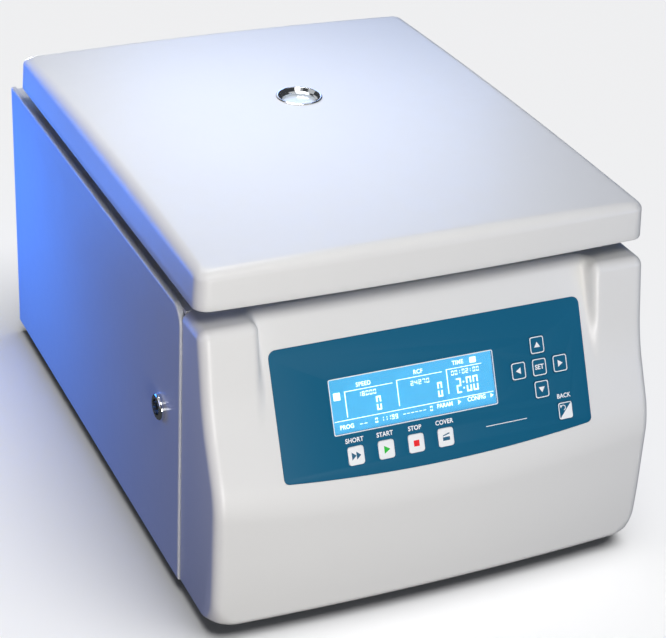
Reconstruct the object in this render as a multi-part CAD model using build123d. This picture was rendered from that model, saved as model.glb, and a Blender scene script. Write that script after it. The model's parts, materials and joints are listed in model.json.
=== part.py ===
"""Bench centrifuge with a 12-place micro-tube rotor.

Millimetres. +Z is up, the control panel faces -Y, and +X is to the right seen from the front.
The origin is on the surface that the feet stand on, under the middle of the machine.
"""
import os
from math import cos, pi, radians, sin

from build123d import *

# ---- driving dimensions -------------------------------------------------------------------
WIDTH = 370.0            # over the two side panels
PANEL_DEPTH = 438.0      # side panels, front edge to rear edge
PANEL_HEIGHT = 238.0     # side panels, bottom edge to top edge
CHIN_REACH = 79.5        # how far the middle of the fascia stands in front of the side panels
REAR_PROUD = 3.5         # fan guard and fuse drawer behind the side panels
FOOT_HEIGHT = 12.0
SHEET = 1.5              # side and rear panel sheet
WALL = 3.0               # moulded walls

PANEL_FRONT = CHIN_REACH - (CHIN_REACH + PANEL_DEPTH + REAR_PROUD) / 2   # y of the side panels' front
PANEL_BACK = PANEL_FRONT + PANEL_DEPTH
BASE_Z = FOOT_HEIGHT                      # underside of the casing
DECK_Z = BASE_Z + 236.0                   # top of the deck and of the fascia
LID_Z = BASE_Z + 250.0                    # lower rim of the lid
LID_TOP = BASE_Z + 286.5                  # crown of the lid
LID_CROWN = 5500.0                        # radius of the lid's slightly domed top
LID_HALF = 184.2                          # half width at the lower rim
LID_FRONT, LID_BACK = PANEL_FRONT - 30.5, PANEL_FRONT + 409.0
LID_BOW = 4.5                             # the lid's front edge bulges by this much
LID_CORNER = 14.0
LID_EDGE = 8.0                            # rounding of the lid's top edge
LID_DRAFT = 3.0                           # degrees that the lid's sides lean inward

# fascia: a bowed chin below, a plane pocket for the controls between two cheeks above
TILT = radians(24.4)                      # control plane, back from vertical
CHEEK_TILT = radians(10.6)
FASCIA_HALF = 183.4
FASCIA_CORNER = 8.0
CHIN_BOW = 6.5
CHEEK_INNER = 137.3
OVERLAY_TOP = (PANEL_FRONT - 30.0, BASE_Z + 209.4)      # y, z of the overlay's top edge
OVERLAY_HALF = 129.1
OVERLAY_SIDE, OVERLAY_MIDDLE = 98.5, 105.5              # overlay length at its sides and middle
OVERLAY_THICK = 0.8
OVERLAY_SINK = 0.6                                       # depth of its seat in the fascia

# controls, measured in the control plane: x to the right, s down the slope from the overlay's top
DISPLAY = (-85.2, 49.6, 29.4, 70.1)                      # x0, x1, s0, s1
KEY_W, KEY_H, KEY_GAP = 13.0, 14.1, 0.15
KEY_PROUD = 0.7
FUNCTION_KEYS = ("short", "start", "stop", "cover")
FUNCTION_X, FUNCTION_PITCH, FUNCTION_S = -70.7, 24.7, 87.6
ARROW_X, ARROW_PITCH_X, ARROW_S, ARROW_PITCH_S = 88.7, 18.1, 48.9, 17.2
BACK_KEY = (107.0, 86.0)

# rotor group
AXIS_X, AXIS_Y = 5.0, PANEL_FRONT + 232.0
BOWL_R, BOWL_BOTTOM = 100.0, BASE_Z + 118.0
ARMOUR_R, ARMOUR_WALL = 118.0, 6.0
ROTOR_Z = BASE_Z + 152.0                 # underside of the rotor
ROTOR_R = 76.0
TUBE_PLACES, TUBE_R, TUBE_DEPTH = 12, 5.6, 38.0
MOUTH_R, MOUTH_Z = 37.0, 39.0            # centre of a tube hole's mouth, from the rotor's base
SHAFT_R = 6.0
RUNNING = 0.05                           # radial clearance of a running fit

# lid hinge, at the back
HINGE_Y, HINGE_Z, HINGE_X = PANEL_FRONT + 424.0, BASE_Z + 252.0, 110.0
PIN_R, EYE_R, ARM_W = 3.5, 7.0, 5.0
PLATE_Z, PLATE_T = BASE_Z + 243.0, 2.0   # lid under-plate

# lid lock, behind the fascia
LOCK_Y, LOCK_Z, LOCK_X = PANEL_FRONT + 40.0, BASE_Z + 134.5, 110.0
LOCK_SWING = 9.0                         # degrees from released to locked
BAR_Z, BAR_R = BASE_Z + 230.0, 2.5       # striker bar

# rear
FAN_X, FAN_Z, FAN_HALF, FAN_R = -95.0, BASE_Z + 110.0, 46.0, 43.0
INLET_X, INLET_Z = 122.0, BASE_Z + 52.0
SWITCH_X, SWITCH_Z = 76.0, BASE_Z + 60.0

# control plane: local x to the right, local y up the slope, local z out of the face
CONTROL = Plane(
    origin=(0, OVERLAY_TOP[0], OVERLAY_TOP[1]), x_dir=(1, 0, 0), z_dir=(0, -cos(TILT), sin(TILT))
)


# ---- building blocks ----------------------------------------------------------------------
def block(x0, x1, y0, y1, z0, z1):
    """Box between two corners."""
    return Pos((x0 + x1) / 2, (y0 + y1) / 2, (z0 + z1) / 2) * Box(x1 - x0, y1 - y0, z1 - z0)


def rod_x(x0, x1, y, z, r):
    return Pos((x0 + x1) / 2, y, z) * Rot(0, 90, 0) * Cylinder(r, x1 - x0)


def rod_y(x, y0, y1, z, r):
    return Pos(x, (y0 + y1) / 2, z) * Rot(90, 0, 0) * Cylinder(r, y1 - y0)


def rod_z(x, y, z0, z1, r):
    return Pos(x, y, (z0 + z1) / 2) * Cylinder(r, z1 - z0)


def ring_z(x, y, z0, z1, r_out, r_in):
    return rod_z(x, y, z0, z1, r_out) - rod_z(x, y, z0 - 1, z1 + 1, r_in)


def turned(x, y, z, profile):
    """Solid of revolution about a vertical axis from (radius, height) points."""
    face = Plane.XZ * make_face(Polyline(*profile, close=True))
    return Pos(x, y, z) * revolve(face, Axis.Z)


def prism_x(x0, x1, points):
    """Prism along X from (y, z) points."""
    return extrude(Plane.YZ.offset(x0) * make_face(Polyline(*points, close=True)), x1 - x0)


def on_panel(x0, x1, s0, s1, w0, w1):
    """Box in the control plane: x across, s down the slope, w out of the face."""
    middle = Pos((x0 + x1) / 2, -(s0 + s1) / 2, (w0 + w1) / 2)
    return CONTROL * middle * Box(x1 - x0, s1 - s0, w1 - w0)


def rounded_on_panel(x, s, width, height, corner, w0, w1):
    """Rounded block in the control plane about a centre."""
    shape = extrude(RectangleRounded(width, height, corner), w1 - w0)
    return CONTROL * Pos(x, -s, w0) * shape


def both_sides(solid):
    """A solid and its mirror image in the machine's middle plane."""
    return [solid, mirror(solid, Plane.YZ)]


def bowed_plan(half, y_front, y_back, bow_front, bow_back, taper, corner_front, corner_back):
    """Plan outline with bulging front and back edges and rounded corners."""
    front, back = half - taper, half
    outline = [
        ThreePointArc((-front, y_front), (0, y_front - bow_front), (front, y_front)),
        Line((front, y_front), (back, y_back)),
        Line((-back, y_back), (-front, y_front)),
    ]
    if bow_back:
        outline.append(ThreePointArc((back, y_back), (0, y_back + bow_back), (-back, y_back)))
    else:
        outline.append(Line((back, y_back), (-back, y_back)))
    face = make_face(outline)
    face = fillet(face.vertices().group_by(Axis.Y)[0], corner_front)
    if corner_back:
        face = fillet(face.vertices().group_by(Axis.Y)[-1], corner_back)
    return face


# ---- casing -------------------------------------------------------------------------------
def key_places():
    """Name, x and s of the centre of every key."""
    places = [
        (name, FUNCTION_X + i * FUNCTION_PITCH, FUNCTION_S) for i, name in enumerate(FUNCTION_KEYS)
    ]
    for name, column, row in (
        ("up", 0, -1), ("left", -1, 0), ("set", 0, 0), ("right", 1, 0), ("down", 0, 1)
    ):
        places.append((name, ARROW_X + column * ARROW_PITCH_X, ARROW_S + row * ARROW_PITCH_S))
    places.append(("back", *BACK_KEY))
    return places


def side_panel():
    """Left side panel: a sheet with a folded edge all round and a rounded top front corner."""
    flange, corner, bend = 4.3, 15.0, 1.4

    def outline(inset):
        y0, y1 = PANEL_FRONT + inset, PANEL_BACK - inset
        z0, z1 = BASE_Z + inset, BASE_Z + PANEL_HEIGHT - inset
        face = make_face(Polyline((y0, z0), (y1, z0), (y1, z1), (y0, z1), close=True))
        top = face.vertices().group_by(Axis.Y)[-1]
        rounded = fillet(top.sort_by(Axis.X)[0], corner - inset)
        return Plane.YZ * rounded

    outer = Pos(-WIDTH / 2, 0, 0) * extrude(outline(0), flange)
    outer = fillet(outer.faces().sort_by(Axis.X)[0].edges(), bend)
    hollow = Pos(-WIDTH / 2 + SHEET, 0, 0) * extrude(outline(SHEET), flange)
    return outer - hollow


def left_side_panel():
    return side_panel() - rod_x(-WIDTH / 2 - 1, -WIDTH / 2 + 5, LOCK_Y, LOCK_Z, 8.1)


def right_side_panel():
    return mirror(side_panel(), Plane.YZ)


def base_tray():
    """Folded floor tray with vent slots and four posts for the motor dampers."""
    x1, y0, y1, lip = 180.4, PANEL_FRONT + 1.0, PANEL_BACK - SHEET - 0.1, 22.0
    tray = block(-x1, x1, y0, y1, BASE_Z, BASE_Z + lip)
    tray -= block(-x1 + 2, x1 - 2, y0 + 2, y1 - 2, BASE_Z + 2, BASE_Z + lip + 1)
    for i in range(8):
        y = AXIS_Y - 42 + 12 * i
        tray -= block(AXIS_X - 35, AXIS_X + 35, y - 2.5, y + 2.5, BASE_Z - 1, BASE_Z + 3)
    for x, y in damper_places():
        tray += rod_z(x, y, BASE_Z + 1, BASE_Z + 32, 9.0)
    for x in (-140, 0, 140):
        tray -= rod_y(x, y1 - 3, y1 + 1, BASE_Z + 14, 1.75)
    return tray


def damper_places():
    return [(AXIS_X + sx * 62, AXIS_Y + sy * 62) for sx in (-1, 1) for sy in (-1, 1)]


def rear_panel():
    """Rear sheet with openings for the fan, the inlet and the switch, and two banks of vents."""
    y0, y1 = PANEL_BACK - SHEET, PANEL_BACK
    panel = block(-180.4, 180.4, y0, y1, BASE_Z + 0.2, DECK_Z - 0.2)
    panel -= rod_y(FAN_X, y0 - 1, y1 + 1, FAN_Z, FAN_R)
    panel -= block(INLET_X - 14, INLET_X + 14, y0 - 1, y1 + 1, INLET_Z - 22.5, INLET_Z + 22.5)
    panel -= block(SWITCH_X - 11, SWITCH_X + 11, y0 - 1, y1 + 1, SWITCH_Z - 15, SWITCH_Z + 15)
    for i in range(9):
        z = BASE_Z + 120 + 9 * i
        panel -= block(10, 70, y0 - 1, y1 + 1, z, z + 4)
        panel -= block(85, 145, y0 - 1, y1 + 1, z, z + 4)
    for x, z in rear_screw_places():
        panel -= rod_y(x, y0 - 1, y1 + 1, z, 1.75)
    return panel


def rear_screw_places():
    return [(x, z) for x in (-140, 0, 140) for z in (BASE_Z + 14, DECK_Z - 12)]


def case_screws():
    """Six pan-head screws in the rear panel."""
    screws = []
    for x, z in rear_screw_places():
        head = fillet(rod_y(x, PANEL_BACK, PANEL_BACK + 2, z, 3.4).edges().group_by(Axis.Y)[-1], 1.0)
        head -= block(x - 0.5, x + 0.5, PANEL_BACK + 1, PANEL_BACK + 3, z - 2, z + 2)
        head -= block(x - 2, x + 2, PANEL_BACK + 1, PANEL_BACK + 3, z - 0.5, z + 0.5)
        screws.append(head + rod_y(x, PANEL_BACK - 6, PANEL_BACK + 0.5, z, 1.7))
    return screws


def top_deck():
    """Deck under the lid, with the chamber opening, two hook slots and a rear lip."""
    y0, y1 = PANEL_FRONT + 0.2, PANEL_BACK - SHEET - 0.1
    deck = block(-180.4, 180.4, y0, y1, DECK_Z - 3, DECK_Z)
    deck += block(-176, 176, y1 - 2, y1, DECK_Z - 22, DECK_Z - 2)
    deck -= rod_z(AXIS_X, AXIS_Y, DECK_Z - 4, DECK_Z + 1, BOWL_R + SHEET + 0.5)
    for side in (-1, 1):
        x = side * LOCK_X
        slot = block(x - 13, x + 13, PANEL_FRONT + 6, PANEL_FRONT + 52, DECK_Z - 4, DECK_Z + 1)
        deck -= fillet(slot.edges().filter_by(Axis.Z), 4)
    for x in (-140, 0, 140):
        deck -= rod_y(x, y1 - 3, y1 + 1, DECK_Z - 12, 1.75)
    return deck


def front_bulkhead():
    """Upright steel sheet between the tray and the deck, with the lock's bearings on it."""
    y = PANEL_FRONT + 58
    sheet = block(-177.5, 177.5, y, y + 2, BASE_Z + 2, DECK_Z - 3)
    foot = block(-177.5, 177.5, y, y + 14, BASE_Z + 2, BASE_Z + 4)
    return sheet + foot


def feet():
    profile = [(0, 0), (13, 0), (15, 3), (15, FOOT_HEIGHT), (0, FOOT_HEIGHT)]
    places = [(x, y) for x in (-150, 150) for y in (PANEL_FRONT + 16, PANEL_FRONT + 412)]
    return [turned(x, y, 0, profile) for x, y in places]


# ---- fascia and controls ------------------------------------------------------------------
def fascia_form(inset):
    """Solid of the fascia, or with an inset, the hollow that a wall of that thickness leaves."""
    back = PANEL_FRONT - 0.3 + (20 if inset else 0)
    chin = PANEL_FRONT - CHIN_REACH + CHIN_BOW + inset
    plan = bowed_plan(FASCIA_HALF - inset, chin, back, CHIN_BOW, 0, 2.0, FASCIA_CORNER - inset, 0)
    low, high = BASE_Z + inset, DECK_Z - inset
    body = Pos(0, 0, low) * extrude(plan, high - low)
    if not inset:
        rim = body.faces().sort_by(Axis.Z)[0].edges().sort_by(Axis.Y)[:-1]
        body = fillet(rim, 7.0)
    behind = CONTROL * Pos(0, 0, -inset - 150) * Box(600, 900, 300)
    cheek_plane = Plane(
        origin=(0, PANEL_FRONT - 36.4, BASE_Z + 229.4), x_dir=(1, 0, 0),
        z_dir=(0, -cos(CHEEK_TILT), sin(CHEEK_TILT)),
    )
    behind_cheek = cheek_plane * Pos(0, 0, -inset - 150) * Box(600, 900, 300)
    beside = block(
        CHEEK_INNER + inset, FASCIA_HALF + 20, PANEL_FRONT - 120, PANEL_FRONT + 30, BASE_Z + 150, DECK_Z,
    )
    cheeks = [(body & behind_cheek) & side for side in both_sides(beside)]
    form = body & behind
    for cheek in cheeks:
        form += cheek
    return form


def front_fascia():
    """Moulded front: a shell with a seat for the overlay and openings for display and keys."""
    fascia = fascia_form(0) - fascia_form(WALL)
    fascia -= overlay_blank(0.2, -OVERLAY_SINK, 2)
    x0, x1, s0, s1 = DISPLAY
    fascia -= on_panel(x0 - 0.2, x1 + 0.2, s0 - 0.2, s1 + 0.2, -1.3, 2)
    fascia -= on_panel(x0 + 2, x1 - 2, s0 + 2, s1 - 2, -6, 2)
    for _, x, s in key_places():
        fascia -= rounded_on_panel(x, s, KEY_W + 1.2, KEY_H + 1.2, 2.5, -6, 2)
    return fascia


def overlay_blank(grow, w0, w1):
    """Overlay outline between two heights; its bottom edge bulges downward."""
    half, top, side, middle = OVERLAY_HALF + grow, grow, OVERLAY_SIDE + grow, OVERLAY_MIDDLE + grow
    face = make_face([
        Line((-half, top), (half, top)),
        Line((half, top), (half, -side)),
        ThreePointArc((half, -side), (0, -middle), (-half, -side)),
        Line((-half, -side), (-half, top)),
    ])
    face = fillet(face.vertices(), 6.0)
    return CONTROL * Pos(0, 0, w0) * extrude(face, w1 - w0)


def keypad_overlay():
    """Printed front sheet with openings for the display window and the keys."""
    overlay = overlay_blank(0, -OVERLAY_SINK, OVERLAY_THICK - OVERLAY_SINK)
    x0, x1, s0, s1 = DISPLAY
    overlay -= on_panel(x0, x1, s0, s1, -2, 2)
    for _, x, s in key_places():
        overlay -= rounded_on_panel(x, s, KEY_W + 2 * KEY_GAP, KEY_H + 2 * KEY_GAP, 2.1, -2, 2)
    return overlay


def key(x, s):
    """Key cap with its plunger."""
    cap = rounded_on_panel(x, s, KEY_W, KEY_H, 2.0, -1.2, KEY_PROUD)
    return cap + on_panel(x - 4, x + 4, s - 4, s + 4, -4.4, -1.0)


def lcd_window():
    x0, x1, s0, s1 = DISPLAY
    return on_panel(x0 + 0.1, x1 - 0.1, s0 + 0.1, s1 - 0.1, -1.2, 0.1)


def lcd_module():
    """Graphic display: glass in a metal bezel on its own board."""
    x0, x1, s0, s1 = DISPLAY
    bezel = on_panel(x0 - 4, x1 + 4, s0 - 3, s1 + 3, -9, -3.3)
    return bezel + on_panel(x0 - 9, x1 + 9, s0 - 7, s1 + 7, -10.6, -9)


def keypad_board():
    """Switch board in two arms round the display, with a dome under each key."""
    board = on_panel(-80, 14, 77.8, 97, -8, -6.4)
    board += on_panel(62, 118, 25, 97, -8, -6.4)
    board += on_panel(10, 64, 80.5, 97, -8, -6.4)
    for _, x, s in key_places():
        board += CONTROL * Pos(x, -s, -5.75) * Cylinder(4.0, 1.5)
    return board


def control_board():
    """Main board on the bulkhead side of the fascia, with its tallest parts."""
    y = PANEL_FRONT + 14
    board = block(-70, 90, y, y + 1.6, BASE_Z + 26, BASE_Z + 112)
    for x, z, w, h, d in ((-40, 84, 26, 20, 4), (10, 60, 34, 34, 6), (60, 90, 18, 18, 14)):
        board += block(x - w / 2, x + w / 2, y + 1, y + 1.6 + d, BASE_Z + z - h / 2, BASE_Z + z + h / 2)
    return board


# ---- lid ----------------------------------------------------------------------------------
def lid_form(inset, z0):
    """Solid of the lid above z0, moved inward all round by an inset: drafted sides, domed top."""
    corner = LID_CORNER - inset
    plan = bowed_plan(
        LID_HALF - inset, LID_FRONT + inset, LID_BACK - inset, LID_BOW, 1.0, 0, corner, corner
    )
    block_form = Pos(0, 0, z0) * extrude(plan, LID_TOP + 5 - z0, taper=LID_DRAFT)
    crown_y = (LID_FRONT + LID_BACK) / 2
    solid = block_form & Pos(0, crown_y, LID_TOP - inset - LID_CROWN) * Sphere(LID_CROWN)
    return fillet(solid.faces().sort_by(Axis.Z)[-1].edges(), LID_EDGE - inset)


def boss_places():
    x, y0, y1 = 140.0, PANEL_FRONT + 30, PANEL_FRONT + 360
    return [(sx * x, y) for sx in (-1, 1) for y in (y0, (y0 + y1) / 2, y1)]


def lid_cover():
    """Moulded lid shell with six screw bosses and the sight-glass opening."""
    lid = lid_form(0, LID_Z) - lid_form(WALL, LID_Z - 5)
    for x, y in boss_places():
        boss = rod_z(x, y, PLATE_Z + PLATE_T, LID_TOP, 6.0) & lid_form(1.0, PLATE_Z)
        lid += boss - rod_z(x, y, PLATE_Z, PLATE_Z + 16, 2.05)
    return lid - rod_z(AXIS_X, AXIS_Y, LID_TOP - 10, LID_TOP + 1, 17.5)


def lid_plate():
    """Steel under-plate that carries the strikers and the hinge arms and closes the chamber."""
    y0, y1 = PANEL_FRONT + 8, PANEL_FRONT + 385
    plate = block(-162, 162, y0, y1, PLATE_Z, PLATE_Z + PLATE_T)
    plate = fillet(plate.edges().filter_by(Axis.Z), 10)
    plate -= rod_z(AXIS_X, AXIS_Y, PLATE_Z - 1, PLATE_Z + 3, 13.0)
    for x, y in boss_places():
        plate -= rod_z(x, y, PLATE_Z - 1, PLATE_Z + 3, 2.1)
    return plate


def lid_screws():
    screws = []
    for x, y in boss_places():
        shank = rod_z(x, y, PLATE_Z - 0.5, PLATE_Z + 14, 2.0)
        screws.append(shank + rod_z(x, y, PLATE_Z - 2.4, PLATE_Z, 3.6))
    return screws


def window_ring():
    """Turned ring of the sight glass, with a ledge for the lens."""
    flange = 19.5
    return turned(AXIS_X, AXIS_Y, LID_TOP, [
        (14, 1.3), (flange - 1, 1.3), (flange, 0.7), (flange, 0), (17.3, 0), (17.3, -12),
        (12, -12), (12, -8), (14, -8),
    ])


def window_lens():
    return rod_z(AXIS_X, AXIS_Y, LID_TOP - 8, LID_TOP - 5, 13.95)


def window_tube():
    """Sight tube from the under-plate up to the ring."""
    return ring_z(AXIS_X, AXIS_Y, PLATE_Z + PLATE_T, LID_TOP - 12, 16.9, 13.0)


def lid_strikers():
    """Two bent bars that hang from the under-plate through the deck's slots."""
    strikers = []
    for side in (-1, 1):
        x = side * LOCK_X
        bar = rod_x(x - 11.5, x + 11.5, LOCK_Y, BAR_Z, BAR_R)
        for end in (-1, 1):
            bar += rod_z(x + end * 9, LOCK_Y, BAR_Z, PLATE_Z, BAR_R)
        strikers.append(bar)
    return strikers


def hinge_arms():
    """Two flat arms from the top of the under-plate back to the hinge pins."""
    arm_low, arm_high = PLATE_Z + PLATE_T, PLATE_Z + PLATE_T + 4.5
    x0, x1 = HINGE_X - ARM_W / 2, HINGE_X + ARM_W / 2
    arm = block(x0, x1, PANEL_FRONT + 310, HINGE_Y - 2, arm_low, arm_high)
    arm += rod_x(x0, x1, HINGE_Y, HINGE_Z, EYE_R)
    arm += rod_x(x1 - 1, x1 + 6, HINGE_Y - 13, arm_high - 1.5, 1.3)
    arm -= rod_x(x0 - 1, x1 + 1, HINGE_Y, HINGE_Z, PIN_R + RUNNING)
    return both_sides(arm)


def hinge_brackets():
    """Two brackets on the deck, each with an ear at either end of its pin."""
    base_z = DECK_Z
    base = block(HINGE_X - 10, HINGE_X + 24, HINGE_Y - 12, HINGE_Y + 11, base_z, base_z + 3)
    for x0 in (HINGE_X - 5.8, HINGE_X + 18):
        ear = block(x0, x0 + 3, HINGE_Y - EYE_R, HINGE_Y + EYE_R, base_z + 2, HINGE_Z)
        base += ear + rod_x(x0, x0 + 3, HINGE_Y, HINGE_Z, EYE_R)
    base -= rod_x(HINGE_X - 12, HINGE_X + 26, HINGE_Y, HINGE_Z, PIN_R)
    return both_sides(base)


def hinge_pins():
    pin = rod_x(HINGE_X - 8, HINGE_X + 23, HINGE_Y, HINGE_Z, PIN_R)
    pin += rod_x(HINGE_X - 9.5, HINGE_X - 6, HINGE_Y, HINGE_Z, PIN_R + 1.6)
    return both_sides(pin)


def hinge_springs():
    """Torsion springs round the pins: a closed sleeve of the coil's outer shape with two legs."""
    x0, x1 = HINGE_X + 3.2, HINGE_X + 17.5
    coil = rod_x(x0, x1, HINGE_Y, HINGE_Z, 7.2) - rod_x(x0 - 1, x1 + 1, HINGE_Y, HINGE_Z, 5.0)
    fixed_leg = block(x1 - 2.2, x1, HINGE_Y + 4.4, HINGE_Y + 6.6, DECK_Z + 3, HINGE_Z - 3)
    moving_leg = block(x0, x0 + 2.2, HINGE_Y - 15.5, HINGE_Y - 3, HINGE_Z - 7.6, HINGE_Z - 5.4)
    return both_sides(coil + fixed_leg + moving_leg)


# ---- lid lock -----------------------------------------------------------------------------
def lock_shaft():
    """Cross shaft with a hexagon socket at the left end for the emergency key."""
    shaft = rod_x(-181.0, 128.0, LOCK_Y, LOCK_Z, SHAFT_R)
    hexagon = Plane.YZ.offset(-182.0) * Pos(LOCK_Y, LOCK_Z) * RegularPolygon(3.4, 6)
    return shaft - extrude(hexagon, 12)


def lock_levers():
    """Two hook levers on the shaft, drawn locked and turned back to their released rest."""
    y, nose_z = LOCK_Y, BAR_Z + BAR_R + 0.5
    outline = [
        (y - 8, LOCK_Z), (y - 13, nose_z - 6), (y - 13, nose_z + 6), (y + 5, nose_z + 3.5),
        (y + 5, nose_z), (y - 4, nose_z), (y - 4, nose_z - 12), (y + 8, LOCK_Z),
    ]
    lever = prism_x(LOCK_X - 2.5, LOCK_X + 2.5, outline)
    lever += rod_x(LOCK_X - 8, LOCK_X + 8, LOCK_Y, LOCK_Z, 11.0)
    lever -= rod_x(LOCK_X - 12, LOCK_X + 12, LOCK_Y, LOCK_Z, SHAFT_R)
    released = lever.rotate(Axis((0, LOCK_Y, LOCK_Z), (1, 0, 0)), LOCK_SWING)
    return both_sides(released)


def lock_bearings():
    """Two bearing blocks on the bulkhead that carry the shaft."""
    x = LOCK_X - 24
    body = block(x - 7, x + 7, LOCK_Y - 12, PANEL_FRONT + 58, LOCK_Z - 12, LOCK_Z + 12)
    body = fillet(body.edges().filter_by(Axis.X).group_by(Axis.Y)[0], 8)
    return both_sides(body - rod_x(x - 8, x + 8, LOCK_Y, LOCK_Z, SHAFT_R + RUNNING))


def lock_gearmotor():
    """Gearbox on the right end of the shaft, with its motor can hanging below."""
    box = block(122, 158, LOCK_Y - 17, PANEL_FRONT + 58, LOCK_Z - 20, LOCK_Z + 16)
    box = fillet(box.edges().filter_by(Axis.X), 2)
    box += rod_z(142, LOCK_Y, LOCK_Z - 62, LOCK_Z - 19, 14)
    return box - rod_x(118, 132, LOCK_Y, LOCK_Z, SHAFT_R + RUNNING)


def release_bezel():
    """Chrome bezel on the left panel that guides the emergency key to the shaft."""
    face = -WIDTH / 2
    ring = rod_x(face - 4, face, LOCK_Y, LOCK_Z, 10.6)
    ring = fillet(ring.edges().sort_by(Axis.X)[0], 1.8)
    ring += rod_x(face - 1, face + 10, LOCK_Y, LOCK_Z, 8.0)
    return ring - rod_x(face - 5, face + 11, LOCK_Y, LOCK_Z, 6.4)


# ---- chamber, motor and rotor ---------------------------------------------------------------
def rotor_chamber():
    """Spun steel bowl with a rolled rim on the deck and a hole for the shaft."""
    r, t, hole, turn, rim = BOWL_R, SHEET, 14.0, 20.0, 8.0
    height = DECK_Z - BOWL_BOTTOM
    diagonal = turn * (1 - sin(pi / 4))
    outer = [
        (hole, 0), (r - turn, 0), (r - diagonal + t, diagonal - t), (r + t, turn),
        (r + t, height), (r + rim, height), (r + rim, height + t), (r, height + t),
        (r, turn + t), (r - diagonal, diagonal + 1), (r - turn, t), (hole, t),
    ]
    return turned(AXIS_X, AXIS_Y, BOWL_BOTTOM, outer)


def chamber_seal():
    """Rubber ring on the bowl's rim, just under the lid's under-plate."""
    r = BOWL_R + 1.5
    return turned(AXIS_X, AXIS_Y, DECK_Z + SHEET, [
        (r, 0), (r + 6, 0), (r + 6, 2.6), (r + 4, 5.2), (r + 2, 5.2), (r, 2.6),
    ])


def armour_ring():
    """Guard ring round the chamber, from the tray to just under the deck."""
    return ring_z(AXIS_X, AXIS_Y, BASE_Z + 2, DECK_Z - 5, ARMOUR_R, ARMOUR_R - ARMOUR_WALL)


def motor_plate():
    plate = ring_z(AXIS_X, AXIS_Y, BASE_Z + 62, BASE_Z + 66, 104, 23)
    for x, y in damper_places():
        plate -= rod_z(x, y, BASE_Z + 61, BASE_Z + 67, 3.2)
    return plate


def motor_dampers():
    return [
        turned(x, y, BASE_Z + 32, [(0, 0), (10, 0), (8, 7), (8, 23), (10, 30), (0, 30)])
        for x, y in damper_places()
    ]


def motor_body():
    """Motor can hanging from its plate, with a bearing boss that carries the shaft."""
    body = turned(AXIS_X, AXIS_Y, BASE_Z, [
        (0, 8), (42, 8), (48, 14), (48, 57), (34, 57), (34, 62), (22, 62), (22, 104), (14, 108), (0, 108),
    ])
    return body - rod_z(AXIS_X, AXIS_Y, BASE_Z + 70, BASE_Z + 109, SHAFT_R + RUNNING)


def motor_shaft():
    """Shaft with the taper and threaded end that hold the rotor."""
    top = ROTOR_Z - BASE_Z
    return turned(AXIS_X, AXIS_Y, BASE_Z, [
        (0, 70.5), (SHAFT_R, 70.5), (SHAFT_R, top - 6), (11, top - 6), (11, top),
        (8, top), (6.5, top + 26), (0, top + 26),
    ])


def shaft_boot():
    """Rubber gaiter between the bowl and the turning shaft."""
    return turned(AXIS_X, AXIS_Y, BOWL_BOTTOM + SHEET, [
        (7, 0), (17, 0), (17, 2), (12, 4), (13, 7), (10, 10), (10.5, 13), (7, 15),
    ])


def rotor_body():
    """Turned rotor with twelve tube holes at 45 degrees round a dished top."""
    body = turned(AXIS_X, AXIS_Y, ROTOR_Z, [
        (8.02, 0), (24, 0), (30, 4), (64, 4), (ROTOR_R, 13), (ROTOR_R, 44), (62, 54),
        (52, 54), (24, 26), (15, 26), (15, 30), (6.7, 30), (6.52, 26),
    ])
    for i in range(TUBE_PLACES):
        azimuth = 360 / TUBE_PLACES * i
        hole = Pos(0, 0, 10 - TUBE_DEPTH / 2) * Cylinder(TUBE_R, TUBE_DEPTH + 20)
        tilted = Pos(MOUTH_R, 0, MOUTH_Z) * Rot(0, -45, 0) * hole
        body -= Pos(AXIS_X, AXIS_Y, ROTOR_Z) * Rot(0, 0, azimuth) * tilted
    return body


def rotor_clamp_screw():
    """Screw that clamps the rotor on the shaft's end."""
    z = ROTOR_Z + 30
    head = rod_z(AXIS_X, AXIS_Y, z, z + 7, 9.0)
    hexagon = Pos(AXIS_X, AXIS_Y, z + 3) * RegularPolygon(4.0, 6)
    return head - extrude(hexagon, 5)


def rotor_lid():
    """Domed rotor cover with a collar for the knob."""
    return turned(AXIS_X, AXIS_Y, ROTOR_Z + 54, [
        (9, 1.5), (9, -8), (12, -8), (12, 0), (60, 0), (62, 1.5), (58, 3), (20, 6), (9.0, 6),
    ])


def rotor_knob():
    """Knob of the rotor cover, with grip flutes and a stem in the collar."""
    z = ROTOR_Z + 60
    knob = turned(AXIS_X, AXIS_Y, z, [
        (0, -13), (8.95, -13), (8.95, 0.2), (15, 0.2), (16, 3), (16, 11), (13, 14), (0, 14),
    ])
    for i in range(8):
        a = 2 * pi / 8 * i
        knob -= rod_z(AXIS_X + 18.5 * cos(a), AXIS_Y + 18.5 * sin(a), z + 2.5, z + 15, 4.5)
    return knob


# ---- mains and cooling ----------------------------------------------------------------------
def power_board():
    """Motor drive board in the right rear corner, with heat sink, capacitors and choke."""
    x0, y0, z = 74.0, PANEL_BACK - 96, BASE_Z + 8
    board = block(x0, x0 + 98, y0, y0 + 62, z, z + 1.6)
    for x, y in ((x0 + 6, y0 + 6), (x0 + 92, y0 + 6), (x0 + 6, y0 + 56), (x0 + 92, y0 + 56)):
        board += rod_z(x, y, BASE_Z + 2, z + 0.5, 3)
    for x in (x0 + 64, x0 + 84):
        board += rod_z(x, y0 + 34, z + 1, z + 32, 8)
    board += block(x0 + 12, x0 + 46, y0 + 26, y0 + 50, z + 1, z + 24)
    return board


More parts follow.
